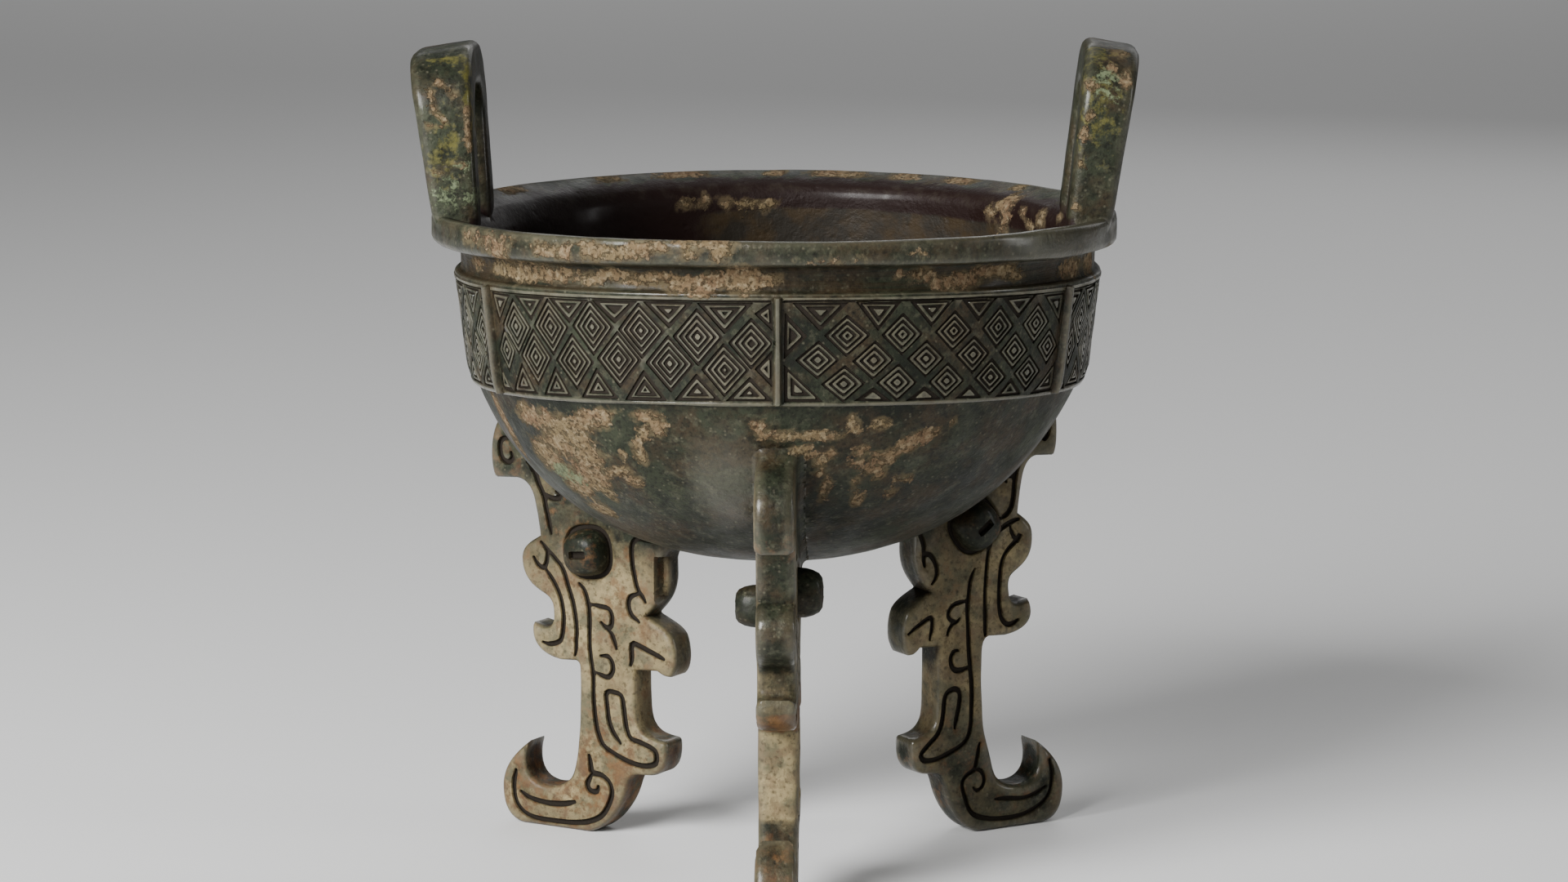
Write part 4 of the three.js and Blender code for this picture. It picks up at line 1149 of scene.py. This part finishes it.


def patches(across, up, smallest, spots):
    """How much of the listed patches each point has, fading out at each patch's own edge."""
    weight = np.zeros(len(up))
    for middle, height, wide, high, *strength in spots:
        wide, high = max(wide, smallest), max(high, smallest)
        gap = np.sqrt((across(middle) / wide)**2 + ((up - height) / high)**2)
        weight = np.maximum(weight, np.clip(1.5 - gap, 0, 1) * (strength[0] if strength else 1))
    return weight


def leg_patina(points, normals, gap, boss):
    """How pale and how rusty each point of the legs is."""
    x, y, height = points.T
    pale, rust = np.zeros((2, len(points)))
    for leg in LEGS:
        turn = math.radians(leg["azimuth"])
        along = (x - leg["shift"]) * math.cos(turn) + y * math.sin(turn)
        aside = y * math.cos(turn) - (x - leg["shift"]) * math.sin(turn)
        on_plate = (np.abs(aside) < PLATE[0]) & (along > PLATE[1]) & (height < PLATE[2]) & (gap > 0.5)
        near = (NEAR_SHARE + (1 - NEAR_SHARE) * smooth_step(gap, *NEAR_BOWL)) * on_plate
        face = np.abs(normals[:, 1] * math.cos(turn) - normals[:, 0] * math.sin(turn))
        paleness = np.interp(height, *LEG_PALE[leg["name"]])
        if leg["name"] == "front_leg":
            paleness = np.where(face > 0.6, np.maximum(paleness, FRONT_FACE_PALE), paleness)
        else:
            shank = smooth_step(height, *SHANK[0]) * (1 - smooth_step(height, *SHANK[1]))
            inner_edge = SHANK_INSIDE[1] * shank * (face < 0.5) * (along < SHANK_INSIDE[0])
            paleness = paleness * (SIDE_SHARE + (1 - SIDE_SHARE) * smooth_step(face, *SIDE_FACE) + inner_edge)
        pale = np.maximum(pale, paleness * near * (1 - BOSS_KEPT * boss))
        rust = np.maximum(rust, np.interp(height, *LEG_RUST[leg["name"]]) * near)
    return pale, rust


def patina(points, places, normals, boss):
    """Where each finish of the old surface lies, and where highlight and shade are painted, from 0 to 1 at
    every point of the true form.
    """
    x, y, height = points.T
    place_turn, place_height = np.degrees(np.arctan2(places[:, 1], places[:, 0])), places[:, 2]
    radius = np.maximum(np.hypot(x, y), 1e-3)
    turn = np.degrees(np.arctan2(y, x))
    facing = (normals[:, 0] * x + normals[:, 1] * y) / radius
    gap = np.concatenate([gap_to_basin(radius[k:k + 6000], height[k:k + 6000])
                          for k in range(0, len(points), 6000)])
    within = ((gap < -1.5) & (height < BAND_BOTTOM)) | (
        (radius < MOUTH_RADIUS) & (height >= BAND_BOTTOM) & (facing < 0.3) & (height < RIM_TOP - 0.2))
    on_handle = height > RIM_TOP + 0.3
    on_lip = (height > 160.6) & ~on_handle
    outside = ~within & ~on_handle

    def round_bowl(middle):
        return np.radians((place_turn - middle + 180) % 360 - 180) * radius

    def bowl_patches(spots, where):
        return patches(round_bowl, place_height, 1.5, spots) * where

    def handle_patches(spots):
        return patches(lambda middle: x - middle, height, 1.0, spots) * (on_handle & (y < -12))

    crust = bowl_patches(BASIN_CRUST + NECK_CRUST + RIM_CRUST, outside & (facing > -0.2))
    crust = np.maximum.reduce([
        crust * (1 - bowl_patches(BARE_SPOTS, outside)), bowl_patches(INNER_CRUST, within),
        handle_patches(HANDLE_CRUST), patches(round_bowl, radius, 0, LIP_CRUST) * on_lip,
    ])
    pale, rust = leg_patina(points, normals, gap, boss)
    # Dark red-brown band below the lip, and painted shade over the left inner wall, which the key light
    # doesn't reach.
    deep = np.clip((height - DEEP_FROM) / 1.5, 0, 1)
    deep = np.maximum(deep, 0.9 * smooth_step((turn + 360) % 360, *PAINTED_SHADE_TURN)) * within
    return {
        "crust": crust,
        "yellow_green": handle_patches(HANDLE_YELLOW_GREEN),
        "pale_green": np.maximum(bowl_patches(PALE_GREEN_SPOTS, outside), handle_patches(HANDLE_PALE_GREEN)),
        # painted highlight on the listed spots, and a little on the eyes
        "gloss_and_painted_highlight": np.maximum(bowl_patches(PAINTED_HIGHLIGHT_SPOTS, outside), 0.15 * boss),
        "neck": ((height > 149.3) & (height < 155.4) & outside).astype(float),
        "pale": pale,
        "rust": rust,
        "within": within.astype(float),
        "deep": deep,
    }


# Finish

def tone(red, green, blue):
    """A colour given as it looks, from 0 to 255, and made linear."""
    return tuple(((v / 255 + 0.055) / 1.055)**2.4 for v in (red, green, blue)) + (1,)


DARK_GREEN = tone(21, 25, 16)
GREY_GREEN = tone(46, 50, 36)
BROWN = tone(50, 40, 26)
BLACK_BROWN = tone(14, 12, 8)
INLAY = tone(33, 28, 22)
CRUST_TAN = tone(106, 92, 67)
CRUST_PINK = tone(104, 84, 63)
CRUST_LIGHT = tone(138, 124, 98)
OLIVE_CREAM = tone(106, 94, 68)
LIGHT_CREAM = tone(150, 135, 99)
LEG_GREY_GREEN = tone(68, 68, 53)
RED_BROWN = tone(80, 52, 33)
ORANGE_BROWN = tone(108, 76, 44)
YELLOW_GREEN = tone(92, 88, 40)
PALE_GREEN = tone(104, 114, 86)
# Light metal, for wear and for painted highlights
WORN_METAL_AND_HIGHLIGHT = tone(106, 102, 84)
DUST = tone(38, 34, 28)
DEEP_RED_BROWN = tone(30, 18, 15)
LEVEL_DRAW = 24                  # how many times longer than high the neck's level streaks are
ROUGHNESS = {                    # of each layer, in the order in which they lie over each other
    "pale": 0.66, "gloss_and_painted_highlight": 0.32, "edge_wear_and_painted_highlight": 0.3, "rust": 0.72, "film": 0.8, "crust": 0.93, "carved": 0.78,
}
POLISH = (0.09, 0.6)             # coat on plain metal, and on rubbed metal
BARE_METAL = 0.15                # how metallic the surface is where nothing covers it
COAT_ROUGHNESS = 0.2
SPECULAR_LEVEL = 0.16


def place(tree, kind, sockets, **settings):
    """A node with its settings. A socket is given a value or joined to another socket."""
    made = tree.nodes.new(kind)
    for name, value in settings.items():
        setattr(made, name, value)
    for name, value in sockets.items():
        if isinstance(value, bpy.types.NodeSocket):
            tree.links.new(value, made.inputs[name])
        else:
            made.inputs[name].default_value = value
    return made


def sums(tree, operation, first, second):
    """Two numbers put together by an operation of arithmetic."""
    return place(tree, "ShaderNodeMath", {0: first, 1: second}, operation=operation).outputs[0]


def ramp(tree, value, low, high, to_low=0.0, to_high=1.0):
    """A number brought from one range to another, and kept within it."""
    return place(tree, "ShaderNodeMapRange", {0: value, 1: low, 2: high, 3: to_low, 4: to_high}).outputs[0]


def new_group(name, inputs, output):
    """A node group with number inputs, a place to read at, and one output."""
    tree = bpy.data.node_groups.new(name, "ShaderNodeTree")
    tree.interface.new_socket("Place", in_out="INPUT", socket_type="NodeSocketVector")
    for socket, value in inputs.items():
        tree.interface.new_socket(socket, in_out="INPUT", socket_type="NodeSocketFloat").default_value = value
    tree.interface.new_socket(output, in_out="OUTPUT", socket_type="NodeSocketFloat")
    return tree, tree.nodes.new("NodeGroupInput").outputs, tree.nodes.new("NodeGroupOutput").inputs


def mottle_group():
    """Soft clouds between a low and a high level of a noise."""
    tree, given, out = new_group("mottle", {"Scale": 100.0, "Detail": 4.0, "Low": 0.4, "High": 0.6}, "Mask")
    cloud = place(tree, "ShaderNodeTexNoise", {"Vector": given["Place"], "Scale": given["Scale"],
                                               "Detail": given["Detail"], "Roughness": 0.6})
    tree.links.new(ramp(tree, cloud.outputs[0], given["Low"], given["High"]), out["Mask"])
    return tree


def ragged_patch_group():
    """A patch with a torn edge and small islands, from how much of it there should be."""
    tree, given, out = new_group(
        "ragged_patch", {"Amount": 0.0, "Scale": 300.0, "Ragged": 1.0, "Soft": 0.05}, "Mask")
    tear = place(tree, "ShaderNodeTexNoise", {"Vector": given["Place"], "Scale": given["Scale"],
                                              "Detail": 7.0, "Roughness": 0.66})
    shift = sums(tree, "MULTIPLY", sums(tree, "SUBTRACT", tear.outputs[0], 0.5), given["Ragged"])
    level = sums(tree, "ADD", given["Amount"], shift)
    low = sums(tree, "SUBTRACT", 0.5, given["Soft"])
    high = sums(tree, "ADD", 0.5, given["Soft"])
    asked = ramp(tree, given["Amount"], 0.0, 0.12)
    tree.links.new(sums(tree, "MULTIPLY", ramp(tree, level, low, high), asked), out["Mask"])
    return tree


def speckle_group():
    """Scattered round dots of uneven size."""
    tree, given, out = new_group("speckle", {"Scale": 400.0, "Share": 0.2, "Size": 0.35}, "Mask")
    cell = place(tree, "ShaderNodeTexVoronoi", {"Vector": given["Place"], "Scale": given["Scale"]})
    chance = place(tree, "ShaderNodeSeparateColor", {0: cell.outputs["Color"]}).outputs[0]
    chosen = sums(tree, "LESS_THAN", chance, given["Share"])
    dot = ramp(tree, cell.outputs["Distance"], given["Size"], 0.0)
    tree.links.new(sums(tree, "MULTIPLY", chosen, dot), out["Mask"])
    return tree


class Layers:
    """The layers of the bronze's finish as they are laid over each other."""

    def __init__(self, tree):
        self.tree = tree
        self.groups = {"mottle": mottle_group(), "ragged_patch": ragged_patch_group(),
                       "speckle": speckle_group()}
        self.spot = place(tree, "ShaderNodeTexCoord", {}).outputs["Object"]
        squeezed = {"Vector": self.spot, "Scale": (1, 1, LEVEL_DRAW)}
        self.drawn_out = place(tree, "ShaderNodeMapping", squeezed).outputs[0]

    def group(self, name, **values):
        made = self.tree.nodes.new("ShaderNodeGroup")
        made.node_tree = self.groups[name]
        for socket, value in {"Place": self.spot, **values}.items():
            if isinstance(value, bpy.types.NodeSocket):
                self.tree.links.new(value, made.inputs[socket])
            else:
                made.inputs[socket].default_value = value
        return made.outputs[0]

    def mark(self, name):
        return place(self.tree, "ShaderNodeAttribute", {}, attribute_name=name).outputs["Fac"]

    def cloud(self, scale, low, high, detail=4.0):
        return self.group("mottle", Scale=scale, Low=low, High=high, Detail=detail)

    def patch(self, amount, scale, ragged, soft):
        return self.group("ragged_patch", Amount=amount, Scale=scale, Ragged=ragged, Soft=soft)

    def streaks(self, scale, low, high):
        """Clouds drawn out into level lines."""
        return self.group("mottle", Place=self.drawn_out, Scale=scale, Low=low, High=high, Detail=4.0)

    def dots(self, scale, share, size):
        return self.group("speckle", Scale=scale, Share=share, Size=size)

    def times(self, first, second):
        return sums(self.tree, "MULTIPLY", first, second)

    def plus(self, first, second):
        return sums(self.tree, "ADD", first, second)

    def blend(self, share, first, second):
        """The first colour, or the second one where the share is full."""
        sockets = {0: share, 6: first, 7: second}
        return place(self.tree, "ShaderNodeMix", sockets, data_type="RGBA").outputs[2]

    def painted(self, colour, *coats):
        """The colour under further ones. A coat is its mask, how strong it is, and its colour."""
        for mask, strength, over in coats:
            colour = self.blend(self.times(mask, strength), colour, over)
        return colour


def dark_bronze_colour(lay):
    """Green, grey and brown clouds, with fine dark and bright specks."""
    return lay.painted(
        lay.blend(lay.cloud(38, 0.4, 0.6, 6), DARK_GREEN, GREY_GREEN),
        (lay.cloud(85, 0.47, 0.6, 6), 0.85, BROWN),
        (lay.cloud(230, 0.5, 0.6, 6), 0.7, DARK_GREEN),
        (lay.cloud(420, 0.54, 0.64, 5), 0.5, LEG_GREY_GREEN),
        (lay.cloud(1000, 0.5, 0.64, 3), 0.6, BLACK_BROWN),
        (lay.dots(900, 0.16, 0.4), 0.5, WORN_METAL_AND_HIGHLIGHT),
        (lay.dots(560, 0.22, 0.4), 0.75, BLACK_BROWN),
    )


def pale_leg_colour(lay):
    """Cream earth in thin films, stained greener and browner."""
    return lay.painted(
        lay.blend(lay.cloud(60, 0.38, 0.6, 6), OLIVE_CREAM, LIGHT_CREAM),
        (lay.cloud(120, 0.47, 0.6, 6), 0.8, LEG_GREY_GREEN),
        (lay.cloud(260, 0.5, 0.6, 6), 0.55, CRUST_PINK),
        (lay.cloud(520, 0.5, 0.62, 5), 0.6, OLIVE_CREAM),
        (lay.cloud(900, 0.54, 0.66, 4), 0.6, BROWN),
        (lay.dots(640, 0.25, 0.42), 0.7, BLACK_BROWN),
    )


def crust_colour(lay):
    """Tan and pinkish earth, lighter on its grains and brown in its pores."""
    return lay.painted(
        lay.blend(lay.cloud(90, 0.38, 0.62, 6), CRUST_TAN, CRUST_PINK),
        (lay.cloud(620, 0.48, 0.64, 6), 0.7, CRUST_LIGHT),
        (lay.cloud(840, 0.5, 0.64, 4), 0.85, BROWN),
    )


def finish_masks(lay):
    """Where each layer of the finish lies, torn or clouded at its edges."""
    crust = lay.mark("crust")
    return {
        "film": lay.patch(crust, 210, 2.4, 0.2),
        "crust": lay.patch(lay.plus(crust, -0.14), 560, 2.8, 0.1),
        "pale": lay.patch(lay.mark("pale"), 150, 0.85, 0.28),
        "rust": lay.patch(lay.mark("rust"), 260, 1.7, 0.16),
        "yellow_green": lay.patch(lay.mark("yellow_green"), 420, 2.2, 0.2),
        "pale_green": lay.patch(lay.mark("pale_green"), 700, 2.4, 0.14),
        # the painted highlight spots, lighter and glossier
        "gloss_and_painted_highlight": lay.patch(lay.mark("gloss_and_painted_highlight"), 120, 0.9, 0.35),
        "carved": lay.patch(lay.mark("carved"), 700, 0.4, 0.18),
        # raised lines lightened as wear and as painted highlight
        "raised": lay.times(lay.mark("raised"), lay.cloud(160, 0.36, 0.58)),
        # edges lightened as wear and as painted highlight
        "edge_wear_and_painted_highlight": lay.patch(lay.mark("edge_wear_and_painted_highlight"), 260, 0.8, 0.3),
        "hollow": lay.times(lay.mark("hollow"), lay.cloud(140, 0.3, 0.55)),
        "within": lay.mark("within"),
        # the band below the lip and the painted shade of the left inner wall
        "deep": lay.patch(lay.mark("deep"), 110, 0.8, 0.12),
        "streaks": lay.times(lay.mark("neck"), lay.streaks(55, 0.42, 0.6)),
    }


def bronze_colour(lay, on):
    """Dark metal with its wear, stains, films and crust, painted highlights on its glossy spots, ridges and
    edges, and painted shade on the left inner wall, laid over each other in turn.
    """
    dust = lay.blend(lay.cloud(150, 0.42, 0.62, 6), DUST, BROWN)
    rusty = lay.blend(lay.cloud(240, 0.42, 0.6), RED_BROWN, ORANGE_BROWN)
    # Painted highlight: the listed glossy spots are lightened towards light metal.
    colour = lay.painted(
        dark_bronze_colour(lay), (on["gloss_and_painted_highlight"], 0.22, WORN_METAL_AND_HIGHLIGHT), (on["streaks"], 0.6, BROWN))
    # Inside: dust, darkened by the band below the lip and by the painted shade of the left inner wall.
    colour = lay.blend(on["within"], colour, lay.blend(on["deep"], dust, DEEP_RED_BROWN))
    colour = lay.blend(on["pale"], colour, pale_leg_colour(lay))
    # Raised lines and sharp edges are lightened as wear and as painted highlight.
    colour = lay.painted(
        colour, (on["rust"], 0.75, rusty), (on["hollow"], 0.3, BLACK_BROWN),
        (on["raised"], 0.5, WORN_METAL_AND_HIGHLIGHT), (on["edge_wear_and_painted_highlight"], 0.3, WORN_METAL_AND_HIGHLIGHT),
        (on["yellow_green"], 0.8, YELLOW_GREEN), (on["film"], 0.45, CRUST_TAN))
    colour = lay.blend(on["crust"], colour, crust_colour(lay))
    colour = lay.painted(colour, (on["pale_green"], 0.8, PALE_GREEN))
    return lay.blend(on["carved"], colour, INLAY)


def bronze_roughness(lay, on):
    """Uneven satin metal, smoother where it is rubbed and dull where earth lies on it."""
    roughness = ramp(lay.tree, lay.cloud(130, 0.32, 0.68, 6), 0, 1, 0.44, 0.72)
    for name, level in ROUGHNESS.items():
        sockets = {0: on[name], 2: roughness, 3: level}
        roughness = place(lay.tree, "ShaderNodeMix", sockets).outputs[0]
    return roughness


def bronze_height(lay, on):
    """How far the surface stands out, in millimetres: grain, dents, pits and crust."""
    height = lay.times(lay.cloud(1500, 0.3, 0.7, 3), 0.05)
    lumps = lay.times(on["crust"], lay.cloud(900, 0.3, 0.7, 6))
    for mask, rise in ((lay.cloud(330, 0.3, 0.7, 6), 0.13), (lay.dots(480, 0.2, 0.42), -0.12),
                       (on["streaks"], 0.09), (on["crust"], 0.2), (on["pale_green"], 0.1), (lumps, 0.25)):
        height = lay.plus(height, lay.times(mask, rise))
    return height


def bronze():
    """Old bronze. The metal shines only where it is rubbed, and where no earth lies on it."""
    finish = bpy.data.materials.new("old_bronze")
    finish.use_nodes = True
    tree = finish.node_tree
    inputs = tree.nodes["Principled BSDF"].inputs
    lay = Layers(tree)
    on = finish_masks(lay)
    dull = sums(tree, "MAXIMUM", lay.plus(on["film"], on["carved"]), on["pale"])
    # Gloss on the rubbed edges and on the painted highlight spots.
    rubbed = sums(tree, "MAXIMUM", on["gloss_and_painted_highlight"], on["edge_wear_and_painted_highlight"])
    bump = {"Height": bronze_height(lay, on), "Strength": 1.0, "Distance": MM}
    for name, value in {
        "Base Color": bronze_colour(lay, on),
        "Roughness": bronze_roughness(lay, on),
        "Coat Weight": lay.times(ramp(tree, rubbed, 0, 1, *POLISH), ramp(tree, dull, 0, 1, 1.0, 0.0)),
        "Metallic": ramp(tree, dull, 0, 1, BARE_METAL, 0.0),
        "Normal": place(tree, "ShaderNodeBump", bump).outputs[0],
    }.items():
        tree.links.new(value, inputs[name])
    inputs["Coat Roughness"].default_value = COAT_ROUGHNESS
    inputs["Specular IOR Level"].default_value = SPECULAR_LEVEL
    return finish


# Floor, light and camera, in metres

FLOOR_SIZE = 16
FLOOR_COLOUR = (0.84, 0.84, 0.835, 1)
FLOOR_ROUGHNESS = 0.6
LIGHTS = {                       # where it is, what it points at, its width and height, watts
    "key_light": ((-0.8, -0.96, 0.75), (0, 0, 0.1), (0.7, 0.7), 47),
    "fill_light": ((1.3, -0.9, 0.5), (0, 0, 0.1), (1.0, 1.0), 0.8),
    "edge_light": ((1.3, -0.15, 0.4), (0, 0, 0.15), (0.1, 0.7), 3.0),
    "top_light": ((0.1, 0.5, 1.5), (0, 0, 0.1), (1.2, 0.7), 2.6),
    "back_light": ((0.7, 1.5, 0.9), (0, 0, 0.1), (1.4, 1.0), 3.5),
    "far_light": ((0, 4.2, 2.6), (0, 3.6, 0), (3.0, 1.5), 29),
}
ROOM_COLOUR = (0.75, 0.76, 0.78, 1)
ROOM_STRENGTH = 0.045
CAMERA_AT = (0.00235, -1.1, 0.2786)
CAMERA_TILT = 80.95              # degrees up from straight down
SENSOR_WIDTH = 36                # millimetres, as is the lens
LENS = 105.2


def floor():
    """A pale floor that reaches out of sight."""
    bpy.ops.mesh.primitive_plane_add(size=FLOOR_SIZE, location=(0, 0, 0))
    ground = bpy.context.object
    ground.name = "floor"
    paint = bpy.data.materials.new("pale_floor")
    paint.use_nodes = True
    shader = paint.node_tree.nodes["Principled BSDF"]
    shader.inputs["Base Color"].default_value = FLOOR_COLOUR
    shader.inputs["Roughness"].default_value = FLOOR_ROUGHNESS
    ground.data.materials.append(paint)


def softbox(name, spot, target, size, power):
    """A rectangular light."""
    lamp = bpy.data.lights.new(name, "AREA")
    lamp.shape = "RECTANGLE"
    lamp.size, lamp.size_y = size
    lamp.energy = power
    holder = bpy.data.objects.new(name, lamp)
    holder.location = spot
    holder.rotation_euler = (Vector(target) - Vector(spot)).to_track_quat("-Z", "Y").to_euler()
    bpy.context.scene.collection.objects.link(holder)


def studio():
    """The lights, and a dim grey room around them."""
    for name, values in LIGHTS.items():
        softbox(name, *values)
    world = bpy.data.worlds.new("studio")
    world.use_nodes = True
    room = world.node_tree.nodes["Background"].inputs
    room["Color"].default_value = ROOM_COLOUR
    room["Strength"].default_value = ROOM_STRENGTH
    bpy.context.scene.world = world


def camera():
    """A long lens in front of the vessel, a little above its rim."""
    lens = bpy.data.cameras.new("camera")
    lens.sensor_width = SENSOR_WIDTH
    lens.lens = LENS
    lens.clip_start = 0.05
    lens.clip_end = 50
    holder = bpy.data.objects.new("camera", lens)
    holder.location = CAMERA_AT
    holder.rotation_euler = (math.radians(CAMERA_TILT), 0, 0)
    bpy.context.scene.collection.objects.link(holder)
    bpy.context.scene.camera = holder


camera()
floor()
studio()
vessel = casting()
vessel.data.materials.clear()
vessel.data.materials.append(bronze())
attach(vessel, "root")
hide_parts("ding_vessel")

bpy.context.view_layer.update()
